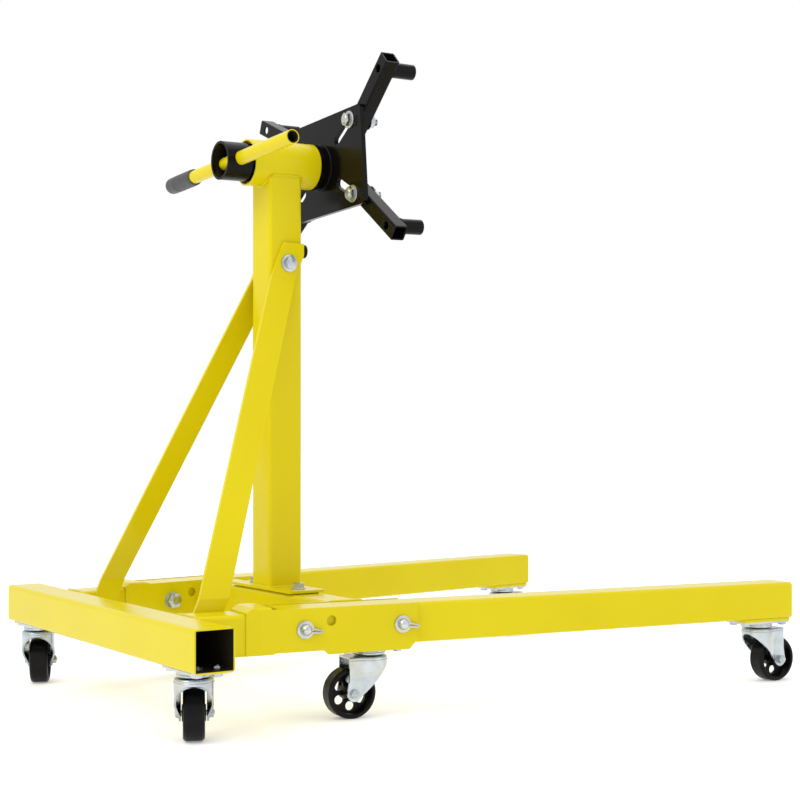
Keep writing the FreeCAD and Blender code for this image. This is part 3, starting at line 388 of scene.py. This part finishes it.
def inside_mask(nodes, links, vector, place, reach, round_bore):
    """1 inside a tube, from the place of its axis along X and the reach of its bore."""
    local = nodes.new("ShaderNodeMapping")
    local.vector_type = "POINT"
    back = place.inverted()
    local.inputs["Location"].default_value = back.translation
    local.inputs["Rotation"].default_value = back.to_euler()
    links.new(vector, local.inputs["Vector"])
    parts = nodes.new("ShaderNodeSeparateXYZ")
    links.new(local.outputs["Vector"], parts.inputs["Vector"])
    if round_bore:
        y = arithmetic(nodes, links, "POWER", parts.outputs["Y"], 2)
        z = arithmetic(nodes, links, "POWER", parts.outputs["Z"], 2)
        distance = arithmetic(nodes, links, "SQRT", arithmetic(nodes, links, "ADD", y, z))
    else:
        y = arithmetic(nodes, links, "ABSOLUTE", parts.outputs["Y"])
        z = arithmetic(nodes, links, "ABSOLUTE", parts.outputs["Z"])
        distance = arithmetic(nodes, links, "MAXIMUM", y, z)
    return arithmetic(nodes, links, "LESS_THAN", distance, reach)


def paint(name, light, dark, gloss, shine, tube=None):
    """Powder coat: two close shades, orange peel, dust-soft roughness and thin, worn edges."""
    material, nodes, links, shader = new_material(name)
    vector = rest_coordinates(nodes)
    clouds = noise_of(nodes, links, vector, 6.0, 4.0)
    specks = noise_of(nodes, links, vector, 240.0, 4.0, 0.7)
    peel = noise_of(nodes, links, vector, 620.0, 1.5)
    waves = noise_of(nodes, links, vector, 38.0, 2.0)
    colour = blend_colours(nodes, links, spread(nodes, links, clouds, 0.3, 0.7, 0.0, 1.0), light, dark)
    chips = spread(nodes, links, specks, 0.55, 0.72, 0.0, 1.0)
    worn = edge_mask(nodes, links, 0.0012, chips)
    bright = tuple(min(1.0, value * 1.15 + 0.05) for value in light)
    colour = blend_colours(nodes, links, arithmetic(nodes, links, "MULTIPLY", worn, 0.5), colour, bright)
    roughness = spread(nodes, links, specks, 0.3, 0.75, gloss, gloss + 0.06)
    if tube is not None:
        place, reach, round_bore = tube
        inner = inside_mask(nodes, links, vector, place, reach * MM, round_bore)
        # Inside a tube's bore the colour turns near-black: the bore is bare metal, and darkening it this far is
        # painted shade for the unlit inside.
        bare_and_painted_shade = blend_colours(nodes, links, clouds, (0.012, 0.010, 0.007), (0.035, 0.026, 0.012))
        colour = blend_colours(nodes, links, inner, colour, bare_and_painted_shade)
        roughness = arithmetic(nodes, links, "ADD", roughness,
                               arithmetic(nodes, links, "MULTIPLY", inner, 0.4))
    links.new(colour, shader.inputs["Base Color"])
    links.new(roughness, shader.inputs["Roughness"])
    shader.inputs["Specular IOR Level"].default_value = shine
    shader.inputs["Coat Weight"].default_value = 0.05
    shader.inputs["Coat Roughness"].default_value = 0.08
    soft = bump(nodes, links, waves, 0.0006, 0.10)
    links.new(bump(nodes, links, peel, 0.00006, 0.15, soft), shader.inputs["Normal"])
    return material


YELLOW_LIGHT = (0.63, 0.525, 0.003)
YELLOW_DARK = (0.605, 0.495, 0.002)
BLACK_LIGHT = (0.004, 0.003, 0.003)
BLACK_DARK = (0.002, 0.002, 0.002)


def yellow_paint(name="yellow_powder_coat", tube=None):
    return paint(name, YELLOW_LIGHT, YELLOW_DARK, 0.20, 0.13, tube)


def black_paint():
    return paint("black_powder_coat", BLACK_LIGHT, BLACK_DARK, 0.16, 0.09)


def zinc_plate():
    """Bright zinc: cool metal with faint yellow and blue clouds and fine handling marks."""
    material, nodes, links, shader = new_material("bright_zinc_plate")
    vector = rest_coordinates(nodes)
    clouds = noise_of(nodes, links, vector, 45.0, 3.0)
    tint = noise_of(nodes, links, vector, 22.0, 2.0)
    grain = noise_of(nodes, links, vector, 900.0, 3.0, 0.65)
    cool = blend_colours(nodes, links, spread(nodes, links, clouds, 0.35, 0.65, 0.0, 1.0),
                         (0.53, 0.57, 0.60), (0.40, 0.44, 0.46))
    warm = spread(nodes, links, tint, 0.52, 0.70, 0.0, 0.55)
    links.new(blend_colours(nodes, links, warm, cool, (0.58, 0.53, 0.36)), shader.inputs["Base Color"])
    links.new(spread(nodes, links, grain, 0.25, 0.75, 0.17, 0.34), shader.inputs["Roughness"])
    shader.inputs["Metallic"].default_value = 1.0
    links.new(bump(nodes, links, grain, 0.00008, 0.25), shader.inputs["Normal"])
    return material


def wheel_plastic():
    """Moulded black wheel: fine texture, and scuffed patches that are a little lighter and more matt."""
    material, nodes, links, shader = new_material("moulded_black_wheel")
    vector = rest_coordinates(nodes)
    scuffs = noise_of(nodes, links, vector, 120.0, 5.0, 0.7)
    grain = noise_of(nodes, links, vector, 1400.0, 2.0)
    dusty = spread(nodes, links, scuffs, 0.55, 0.8, 0.0, 0.6)
    links.new(blend_colours(nodes, links, dusty, (0.003, 0.003, 0.003), (0.014, 0.013, 0.011)),
              shader.inputs["Base Color"])
    links.new(spread(nodes, links, scuffs, 0.3, 0.7, 0.26, 0.46), shader.inputs["Roughness"])
    shader.inputs["Specular IOR Level"].default_value = 0.14
    links.new(bump(nodes, links, grain, 0.0001, 0.3), shader.inputs["Normal"])
    return material


def grip_rubber():
    """Dipped grip: dark grey, stippled and matt, a little shiny where hands rub it."""
    material, nodes, links, shader = new_material("dipped_grip")
    vector = rest_coordinates(nodes)
    rubbed = noise_of(nodes, links, vector, 30.0, 3.0)
    stipple = noise_of(nodes, links, vector, 1100.0, 2.0)
    links.new(blend_colours(nodes, links, rubbed, (0.030, 0.031, 0.034), (0.052, 0.053, 0.058)),
              shader.inputs["Base Color"])
    links.new(spread(nodes, links, rubbed, 0.3, 0.7, 0.42, 0.62), shader.inputs["Roughness"])
    links.new(bump(nodes, links, stipple, 0.0002, 0.5), shader.inputs["Normal"])
    return material


YELLOW = yellow_paint()
BLACK = black_paint()
ZINC = zinc_plate()
WHEEL = wheel_plastic()
GRIP = grip_rubber()


# ---------------------------------------------------------------- CAD pieces that stay

def soften_group(limit):
    """Geometry nodes that shade smooth up to an angle."""
    group = bpy.data.node_groups.new("smooth_by_angle", "GeometryNodeTree")
    group.interface.new_socket("Geometry", in_out="INPUT", socket_type="NodeSocketGeometry")
    group.interface.new_socket("Geometry", in_out="OUTPUT", socket_type="NodeSocketGeometry")
    nodes, links = group.nodes, group.links
    entry, leave = nodes.new("NodeGroupInput"), nodes.new("NodeGroupOutput")
    faces = nodes.new("GeometryNodeSetShadeSmooth")
    faces.inputs["Shade Smooth"].default_value = True
    edges = nodes.new("GeometryNodeSetShadeSmooth")
    edges.domain = "EDGE"
    edges.inputs["Shade Smooth"].default_value = False
    angle = nodes.new("GeometryNodeInputMeshEdgeAngle")
    sharp = nodes.new("FunctionNodeCompare")
    sharp.operation = "GREATER_THAN"
    sharp.inputs[1].default_value = math.radians(limit)
    links.new(entry.outputs[0], faces.inputs["Geometry"])
    links.new(faces.outputs["Geometry"], edges.inputs["Geometry"])
    links.new(angle.outputs["Unsigned Angle"], sharp.inputs[0])
    links.new(sharp.outputs[0], edges.inputs["Selection"])
    links.new(edges.outputs["Geometry"], leave.inputs[0])
    return group


def plain_normals_group():
    """Geometry nodes that drop the normals the frame was packed with."""
    group = bpy.data.node_groups.new("plain_normals", "GeometryNodeTree")
    group.interface.new_socket("Geometry", in_out="INPUT", socket_type="NodeSocketGeometry")
    group.interface.new_socket("Geometry", in_out="OUTPUT", socket_type="NodeSocketGeometry")
    nodes, links = group.nodes, group.links
    entry, leave = nodes.new("NodeGroupInput"), nodes.new("NodeGroupOutput")
    drop = nodes.new("GeometryNodeRemoveAttribute")
    drop.inputs["Name"].default_value = "custom_normal"
    links.new(entry.outputs[0], drop.inputs["Geometry"])
    links.new(drop.outputs["Geometry"], leave.inputs[0])
    return group


SMOOTH = soften_group(SMOOTH_LIMIT)
PLAIN = plain_normals_group()


def finish_node(name, material, edge):
    """Give a CAD node its finish and rolled edges of the given radius."""
    node = frame["nodes"][name]
    for number in range(len(node.material_slots)):
        node.material_slots[number].material = material
    first = node.modifiers.new("plain_normals", "NODES")
    first.node_group = PLAIN
    merge = node.modifiers.new("merge_flats", "DECIMATE")
    merge.decimate_type = "DISSOLVE"
    merge.angle_limit = math.radians(0.6)
    rolled = node.modifiers.new("rolled_edges", "BEVEL")
    rolled.width = edge * MM
    rolled.segments = 3
    rolled.limit_method = "ANGLE"
    rolled.angle_limit = math.radians(34)
    rolled.use_clamp_overlap = True
    smooth = node.modifiers.new("smooth", "NODES")
    smooth.node_group = SMOOTH
    flats = node.modifiers.new("flat_faces_rule", "WEIGHTED_NORMAL")
    flats.mode = "FACE_AREA"
    flats.keep_sharp = True


def tube_finishes():
    """Yellow paint with a near-black bore, bare metal darkened further as painted shade, for each tube with an
    open end.
    """
    low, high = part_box("rear_cross_tube")
    middle = (low + high) / 2
    bore = TUBE / 2 - 0.8 * TUBE_WALL
    bar_bore = 9.5
    rear = axes(middle, Vector((0, 1, 0)), Vector((-1, 0, 0)))
    bar = head_place() @ Matrix.Translation((bar_behind(), 0, 0)) @ Matrix.Rotation(math.pi / 2, 4, "Z")
    finishes = {
        "rear_cross_tube": yellow_paint("yellow_rear_tube", (rear, bore, False)),
        "handle_bar": yellow_paint("yellow_handle_bar", (bar, bar_bore, True)),
    }
    for side, _ in SIDES:
        finishes[f"leg_{side}"] = yellow_paint(f"yellow_leg_{side}", (leg_place(side), bore, False))
    return finishes


def bar_behind():
    """How far along the spindle's axis the handle bar crosses it, in metres."""
    low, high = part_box("handle_bar")
    return (head_place().inverted() @ ((low + high) / 2)).x


def finish_nodes():
    """Finish every CAD node that stays in view."""
    tubes = tube_finishes()
    for name, edge in (("side_member_L", 0.5), ("side_member_R", 0.5), ("bracket_L", 0.9),
                       ("bracket_R", 0.9), ("mid_cross_tube", 0.5), ("mast_base_pad", 0.4),
                       ("mast_base_plate", 0.9), ("mast_post", 0.5), ("head_sleeve", 0.8),
                       ("brace_L", 0.9), ("brace_R", 0.9), ("leg_pad_L", 0.6), ("leg_pad_R", 0.6)):
        finish_node(name, YELLOW, edge)
    for name, material in tubes.items():
        finish_node(name, material, 0.5)
    for name, edge in (("spindle_tube", 0.7), ("spindle_collar", 0.5), ("face_plate", 0.8)):
        finish_node(name, BLACK, edge)
    for arm in ARMS:
        finish_node(f"arm_{arm}", BLACK, 0.6)
    for name in ("caster_plates_frame", "caster_plate_leg_L", "caster_plate_leg_R"):
        finish_node(name, ZINC, 0.5)
    for caster in CASTERS:
        finish_node(f"fork_{caster}", ZINC, 0.6)
        finish_node(f"wheel_{caster}", WHEEL, 0.5)


# ---------------------------------------------------------------- fasteners

def clamp_bolt(arm):
    """Flanged bolt behind the plate with a rounded end, nut and threaded tail on the arm."""
    head = 18
    behind = -PLATE_DEPTH
    seat = ARM_SIDE + 0.1
    nut = seat + 10.5
    levels = flipped(dome(7.4, head, 2.6)) + hexagon(9.6, -head, behind - FLANGE_DEPTH, above=False)
    levels += flange(FLANGE, behind - FLANGE_DEPTH, behind)
    levels += turned([(BOLT, behind), (BOLT, seat)])
    levels += flange(FLANGE, seat, seat + FLANGE_DEPTH)
    levels += hexagon(BOLT_FLAT, seat + FLANGE_DEPTH, nut, below=False)
    levels += thread(BOLT, nut, seat + 17.4)
    mesh = mesh_from(lambda bm: stack(bm, levels, arm_place(arm)), f"clamp_bolt_{arm}")
    add_piece(f"clamp_bolt_{arm}", mesh, f"clamp_{arm}", ZINC, [f"arm_bolt_{arm}"])


def brace_bolt():
    """The long bolt through the braces and the mast, head on the right, nut on the left."""
    low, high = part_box("brace_bolt")
    crown, head_depth, nut_depth = 0.9, 10.5, 10
    head = low.y / MM
    face = head + head_depth
    place = axes(Vector(((low.x + high.x) / 2, 0, (low.z + high.z) / 2)),
                 Vector((1, 0, 0)), Vector((0, 0, -1)))
    levels = flipped(dome(7.4, -head - crown, crown))
    levels += hexagon(BOLT_FLAT, head + crown, face - FLANGE_DEPTH, above=False)
    levels += flange(FLANGE, face - FLANGE_DEPTH, face)
    levels += turned([(BOLT, face), (BOLT, -face)])
    levels += hexagon(BOLT_FLAT, -face, -face + nut_depth, below=False)
    levels += thread(BOLT, -face + nut_depth, high.y / MM)
    mesh = mesh_from(lambda bm: stack(bm, levels, place), "brace_through_bolt")
    add_piece("brace_through_bolt", mesh, "frame", ZINC, ["brace_bolt"])


def mast_bolts():
    """Two bolts through the mast's base plate, washer and head on top, nut in the tube."""
    low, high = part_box("mast_base_bolts")
    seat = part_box("mast_base_plate")[1].z / MM
    bottom, top = low.z / MM, high.z / MM
    washer, washer_depth, flat = 11, 2, 9.0
    nut_low, nut_high = bottom + 7, bottom + 15
    reach = (high.y - low.y) / 2 - washer * MM
    levels = turned([(4.8, bottom)]) + thread(BOLT, bottom, nut_low)[:-1]
    levels += hexagon(flat, nut_low, nut_high)
    levels += turned([(BOLT, nut_high), (BOLT, seat)]) + flange(washer, seat, seat + washer_depth)
    levels += hexagon(flat, seat + washer_depth, top, below=False)

    def build(bm):
        for side in (1, -1):
            spot = Vector(((low.x + high.x) / 2, side * reach, 0))
            stack(bm, levels, Matrix.Translation(spot))
    mesh = mesh_from(build, "mast_hold_down_bolts")
    add_piece("mast_hold_down_bolts", mesh, "frame", ZINC, ["mast_base_bolts"])


def caster_bolt_levels(reach, nut):
    """A caster bolt: domed head under the plate, and a nut above where there is one."""
    shank, flat = 4, 6.5
    seat = PLATE_OVER + reach
    head = PLATE_UNDER - 4.1
    nut_top = seat + 4.4
    levels = flipped(dome(5.6, -head, 0.9)) + hexagon(flat, head, PLATE_UNDER, above=False)
    levels += turned([(shank, PLATE_UNDER), (shank, seat)])
    if not nut:
        return levels
    return levels + hexagon(flat, seat, nut_top) + thread(shank, nut_top, seat + 6, 0.8)


def caster_bolts():
    """Four bolts for each caster, grouped by what the caster is bolted to."""
    groups = {"frame": [], "leg_L": [], "leg_R": []}
    for caster in CASTERS:
        owner = caster if caster.startswith("leg") else "frame"
        groups[owner].append(caster)
    # How far a bolt goes through the metal above the plate, and whether a nut holds it there.
    reach = {"rear": (3, True), "mid": (4.5, False), "leg": (8, True)}
    for owner, casters in groups.items():
        def build(bm, casters=casters):
            for caster in casters:
                levels = caster_bolt_levels(*reach[caster.split("_")[0]])
                for x in (CASTER_BOLT_ALONG, -CASTER_BOLT_ALONG):
                    for y in (CASTER_BOLT_ASIDE, -CASTER_BOLT_ASIDE):
                        spot = Matrix.Translation((x * MM, y * MM, 0))
                        stack(bm, levels, plate_place(caster) @ spot)
        name = f"caster_bolts_{owner}"
        mesh = mesh_from(build, f"domed_{name}")
        add_piece(f"domed_{name}", mesh, owner, ZINC, [name])


def pin_levels(tail):
    """A pin along Z: washer on the cheek, rounded end outside, plain shank inside."""
    shank, ball, middle = 8, 8.5, 4.5
    washer, washer_depth = 13, 2.5
    profile = []
    for step in range(8):
        angle = step * math.pi / 16
        profile.append((ball * math.cos(angle), middle + ball * math.sin(angle)))
    levels = tail + turned([(shank, -PIN_THROUGH), (shank, 0)]) + flange(washer, 0, washer_depth)
    return levels + turned([(8.2, washer_depth)]) + turned(profile)


def hairpin(bm, place, droop):
    """The wire clip through a pin's end: two legs that close in to a tip."""
    swing = place @ Matrix.Rotation(math.radians(droop), 4, "Z")
    right = [(-4, 3.2, 5.6), (4, 3.2, 5.6), (10, 2.7, 5.4), (17, 2.0, 5.0), (23, 1.6, 4.6), (26, 0.2, 4.4)]
    left = [(x, -y, z) for x, y, z in right[-2::-1]]
    points = [swing @ (Vector(point) * MM) for point in right + left]
    spots = resampled(points, 1.2 * MM, False)
    wire = 1.5
    tube_along(bm, spots, [wire * MM] * len(spots))


def pins():
    """Pivot pins with their nuts inside, and lock pins with a plain inner end."""
    nut = turned([(6.8, -PIN_THROUGH - 13), (8, -PIN_THROUGH - 12)])
    nut += hexagon(11.7, -PIN_THROUGH - 11.5, -PIN_THROUGH - 1.5, above=False)
    nut += flange(14, -PIN_THROUGH - 1.5, -PIN_THROUGH)
    plain = turned([(6.4, -PIN_THROUGH - 6), (8, -PIN_THROUGH - 4.6)])

    def build_pivots(bm):
        for side, sign in SIDES:
            place = pin_place(side, 0)
            stack(bm, pin_levels(nut), place)
            hairpin(bm, place, 9 * sign)
    add_piece("pivot_pins_with_clips", mesh_from(build_pivots, "pivot_pins_with_clips"), "frame",
              ZINC, ["pivot_pins"])
    for side, sign in SIDES:
        def build_lock(bm, side=side, sign=sign):
            place = pin_place(side, LOCK_AHEAD)
            stack(bm, pin_levels(plain), place)
            hairpin(bm, place, 9 * sign)
        name = f"lock_pin_with_clip_{side}"
        add_piece(name, mesh_from(build_lock, name), f"lock_{side}", ZINC,
                  [f"lock_pin_{side}"])


# ---------------------------------------------------------------- caster details

def caster_races():
    """The rolled race under each caster plate."""
    profile = [(21.5, 100.9), (24.6, 100.9), (25.0, 100.3), (24.9, 99.2), (23.7, 98.6), (23.5, 97.6),
               (24.1, 97.0), (24.3, 95.2), (23.9, 93.9), (22.8, 93.0), (21.5, 93.0)]
    for caster in CASTERS:
        owner = caster if caster.startswith("leg") else "frame"
        mesh = mesh_from(lambda bm: stack(bm, turned(profile), caster_place(caster), closed=True),
                         f"caster_race_{caster}")
        add_piece(f"caster_race_{caster}", mesh, owner, ZINC, limit=40)


def crown_ribs():
    """The pressed rib that runs round each fork below its top."""
    height, rib = 86.2, 0.9
    turn = math.radians(113)
    steps = 24
    side = [Vector((-38, FORK_SIDE, height)), Vector((-20.5, FORK_SIDE, height))]
    arc = []
    for step in range(steps + 1):
        angle = turn - 2 * turn * step / steps
        arc.append(Vector((CROWN * math.cos(angle), CROWN * math.sin(angle), height)))
    other = [Vector((point.x, -point.y, height)) for point in side[::-1]]
    for caster in CASTERS:
        place = caster_place(caster)
        points = [place @ (point * MM) for point in side + arc + other]
        spots = resampled(points, 1.5 * MM, False)
        mesh = mesh_from(lambda bm: tube_along(bm, spots, [rib * MM] * len(spots), sides=8),
                         f"fork_rib_{caster}")
        add_piece(f"fork_rib_{caster}", mesh, f"fork_{caster}", ZINC, limit=60)


def axle_levels():
    """An axle bolt along Z: washer and low head on one side, washer and lock nut on the other."""
    half, shank, washer, soft = FORK_SIDE, 4, 7.4, 0.3
    levels = flipped(dome(4.4, half + 4.4, 1.4)) + hexagon(6.1, -half - 4.4, -half - 1.4, above=False)
    levels += flange(washer, -half - 1.4, -half, soft)
    levels += turned([(shank, -half), (shank, half)]) + flange(washer, half, half + 1.2, soft)
    return levels + hexagon(6.3, half + 1.2, half + 6.2) + dome(3.9, half + 6.2, 2.0)


def axles():
    """An axle bolt with a lock nut for each wheel."""
    for caster in CASTERS:
        place = caster_place(caster)
        spin = joint_at(f"wheel_spin_{caster}")
        across = axes(spin, place.col[0].to_3d(), -place.col[2].to_3d())
        mesh = mesh_from(lambda bm: stack(bm, axle_levels(), across), f"axle_bolt_{caster}")
        add_piece(f"axle_bolt_{caster}", mesh, f"fork_{caster}", ZINC,
                  [f"axle_{caster}"])


def grip():
    """The dipped grip on the handle bar, closed and rounded at its outer end."""
    place = head_place() @ Matrix.Translation((bar_behind(), 0, 0))
    along = place @ Matrix.Rotation(-math.pi / 2, 4, "X")
    start, end = 136, 229
    profile = [(BAR_RADIUS + 0.1, start), (12.6, start), (13.4, start + 0.8), (13.6, start + 2.2)]
    ribs, pitch = 9, 6.4
    for rib in range(ribs):
        middle = start + 10 + rib * pitch
        profile += [(13.75, middle - 2.4), (14.0, middle - 1.4), (14.0, middle + 1.4), (13.75, middle + 2.4)]
    profile += [(13.7, end - 10), (13.1, end - 5), (11.6, end - 2), (9.0, end - 0.5), (5.0, end)]
    mesh = mesh_from(lambda bm: stack(bm, turned(profile), along), "dipped_handle_grip")
    add_piece("dipped_handle_grip", mesh, "handle", GRIP, ["handle_grip"], limit=50)


# ---------------------------------------------------------------- welds

def bead(name, points, body, material, radius=2.2, closed=False):
    """A weld bead along a line of points in metres, rippled along its length."""
    step, pitch = 0.9, 2.8
    spots = resampled(points, step * MM, closed)
    radii = []
    for number in range(len(spots)):
        ripple = abs(math.sin(math.pi * number * step / pitch))
        end = min(number, len(spots) - 1 - number)
        taper = 1 if closed else min(1, 0.45 + 0.2 * end)
        radii.append(radius * MM * (0.80 + 0.20 * ripple) * taper)
    mesh = mesh_from(lambda bm: tube_along(bm, spots, radii, closed), name)
    add_piece(name, mesh, body, material, limit=60)


def square_loop(half_width, half_height, corner, steps=5):
    """Points round a rectangle with rounded corners, in millimetres."""
    points = []
    for quarter, (x, y) in enumerate(((1, 1), (-1, 1), (-1, -1), (1, -1))):
        for step in range(steps + 1):
            angle = math.pi / 2 * (quarter + step / steps)
            points.append((x * (half_width - corner) + corner * math.cos(angle),
                           y * (half_height - corner) + corner * math.sin(angle)))
    return points


def frame_welds():
    """Beads where the frame's tubes, brackets and braces meet."""
    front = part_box("rear_cross_tube")[1].x
    cross_low, cross_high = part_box("mid_cross_tube")
    middle = (cross_low + cross_high) / 2
    member, cross, lower = 29.4, 29.6, 5    # half sides; the members' middle under the legs'
    for side, sign in SIDES:
        leg = leg_place(side)
        slope = math.atan2(leg.col[0].y, leg.col[0].x)
        outer = []
        for y, z in square_loop(member, member, TUBE_CORNER):
            spot = leg @ Vector((0, y * MM, (z - lower) * MM))
            spot.x = front + 0.2 * MM
            run = (front - leg.translation.x) * math.tan(slope)
            spot.y = leg.translation.y + run + y * MM / math.cos(slope)
            outer.append(spot)
        bead(f"weld_rear_tube_{side}", outer, "frame", YELLOW, 2.2, True)
        inner = []
        for x, z in square_loop(cross, cross, TUBE_CORNER):
            ahead = middle.x + x * MM - leg.translation.x
            y = leg.translation.y + ahead * math.tan(slope) - sign * CHEEK_OUT * MM / math.cos(slope)
            inner.append(Vector((middle.x + x * MM, y, middle.z + z * MM)))
        bead(f"weld_cross_tube_{side}", inner, "frame", YELLOW, 2.4, True)
        brace_foot_weld(side, sign, leg)


def brace_foot_weld(side, sign, leg):
    """A bead up both edges of a brace's foot and across its lower end."""
    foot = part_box(f"brace_{side}")[0].x
    rear = (leg.inverted() @ Vector((foot, leg.translation.y - sign * TUBE * MM, 0))).x / MM
    width, lean = 44.6, 0.41
    top, bottom = 23, -22.6
    face = -sign * (TUBE / 2 + 0.6)
    shift = lean * (top - bottom)
    points = []
    for x, z in ((shift, top), (0, bottom), (width, bottom), (width + shift, top)):
        points.append(leg @ Vector(((rear + x) * MM, face * MM, z * MM)))
    bead(f"weld_brace_foot_{side}", points, "frame", YELLOW, 2.0)


def mast_welds():
    """Beads round the foot of the mast, and round its top under the sleeve."""
    low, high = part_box("mast_post")
    middle = (low + high) / 2
    foot = [Vector((middle.x + x * MM, middle.y + y * MM, low.z + 0.4 * MM))
            for x, y in square_loop(30.3, 30.3, TUBE_CORNER)]
    bead("weld_mast_foot", foot, "frame", YELLOW, 2.6, True)
    head = head_place()
    tilt = head.col[0].z / head.col[0].x
    steps = 8
    rim = square_loop(30.0, 30.0, TUBE_CORNER, steps)
    points = []
    for start, end in zip(rim, rim[1:] + rim[:1]):
        for step in range(steps):
            x = start[0] + (end[0] - start[0]) * step / steps
            y = start[1] + (end[1] - start[1]) * step / steps
            drop = math.sqrt(SLEEVE_RADIUS ** 2 - min(abs(y), SLEEVE_RADIUS - 1) ** 2)
            points.append(head.translation + Vector((x, y, tilt * x - drop)) * MM)
    bead("weld_mast_top", points, "frame", YELLOW, 2.3, True)


def circle_points(place, radius, height, steps=72):
    """Points of a circle about a place's Z axis, in millimetres up it."""
    return [place @ (Vector((radius * math.cos(2 * math.pi * step / steps),
                             radius * math.sin(2 * math.pi * step / steps), height)) * MM)
            for step in range(steps)]


def head_welds():
    """Beads between the collar and the plate, and round each arm's sleeve."""
    head = head_place()
    along = head @ Matrix.Rotation(math.pi / 2, 4, "Y")
    bead("weld_face_plate", circle_points(along, 37.2, 80.6), "head", BLACK, 2.0, True)
    for arm in ARMS:
        out = Vector(MOUNTS[f"engine_bolt_{arm}"]["pos_m"]) - joint_at(f"arm_swing_{arm}")
        place = arm_place(arm)
        reach = out.dot(place.col[0].to_3d())
        place = place @ Matrix.Translation((reach, 0, 0))
        ring = circle_points(place, 11.9, ARM_SIDE + 0.2)
        bead(f"weld_arm_sleeve_{arm}", ring, f"arm_{arm}", BLACK, 1.3, True)


# ---------------------------------------------------------------- floor, light and camera, in metres

def floor():
    """A plain pale floor that gives off a little light, large enough to reach the horizon."""
    reach = 40
    mesh = bpy.data.meshes.new("floor")
    mesh.from_pydata([(-reach, -reach, 0), (reach, -reach, 0), (reach, reach, 0), (-reach, reach, 0)],
                     [], [(0, 1, 2, 3)])
    material, _, _, shader = new_material("pale_floor")
    shader.inputs["Base Color"].default_value = (0.90, 0.90, 0.90, 1)
    shader.inputs["Emission Color"].default_value = (1.0, 1.0, 1.0, 1)
    shader.inputs["Emission Strength"].default_value = 0.24
    shader.inputs["Roughness"].default_value = 0.7
    shader.inputs["Specular IOR Level"].default_value = 0.1
    mesh.materials.append(material)
    piece = bpy.data.objects.new("floor", mesh)
    bpy.context.scene.collection.objects.link(piece)


def softbox(name, spot, aim, width, height, power):
    """A large soft light at a spot, aimed at a point."""
    lamp = bpy.data.lights.new(name, "AREA")
    lamp.shape = "RECTANGLE"
    lamp.size = width
    lamp.size_y = height
    lamp.energy = power
    item = bpy.data.objects.new(name, lamp)
    item.location = spot
    item.rotation_euler = (Vector(aim) - Vector(spot)).to_track_quat("-Z", "Y").to_euler()
    bpy.context.scene.collection.objects.link(item)


def lights():
    """A white surround with three large soft lights."""
    world = bpy.data.worlds.new("pale_studio")
    world.use_nodes = True
    background = world.node_tree.nodes["Background"]
    background.inputs["Color"].default_value = (1.0, 1.0, 1.0, 1)
    background.inputs["Strength"].default_value = 1.0
    bpy.context.scene.world = world
    softbox("key_light", (-2.5, -0.6, 2.6), (-0.2, 0, 0.9), 1.8, 1.8, 38)
    softbox("fill_light", (1.6, -3.0, 1.6), (0, 0, 0.4), 2.2, 2.2, 6)
    softbox("top_light", (0.2, 0.4, 3.2), (0, 0, 0.3), 2.6, 2.6, 20)


def camera():
    """A level camera behind and to the right of the stand, at the photograph's angle."""
    data = bpy.data.cameras.new("camera")
    data.sensor_width = 36.0
    data.lens = 66.1
    data.shift_y = 0.0505
    data.clip_end = 200
    item = bpy.data.objects.new("camera", data)
    item.location = (-1.40829, -2.08796, 0.41002)
    item.rotation_euler = (math.pi / 2, 0, math.radians(-33.96))
    bpy.context.scene.collection.objects.link(item)
    bpy.context.scene.camera = item
    bpy.context.scene.view_settings.view_transform = "Standard"


# ---------------------------------------------------------------- the whole stand

def build():
    floor()
    lights()
    camera()
    finish_nodes()
    for arm in ARMS:
        clamp_bolt(arm)
    brace_bolt()
    mast_bolts()
    caster_bolts()
    pins()
    caster_races()
    crown_ribs()
    axles()
    grip()
    frame_welds()
    mast_welds()
    head_welds()


build()
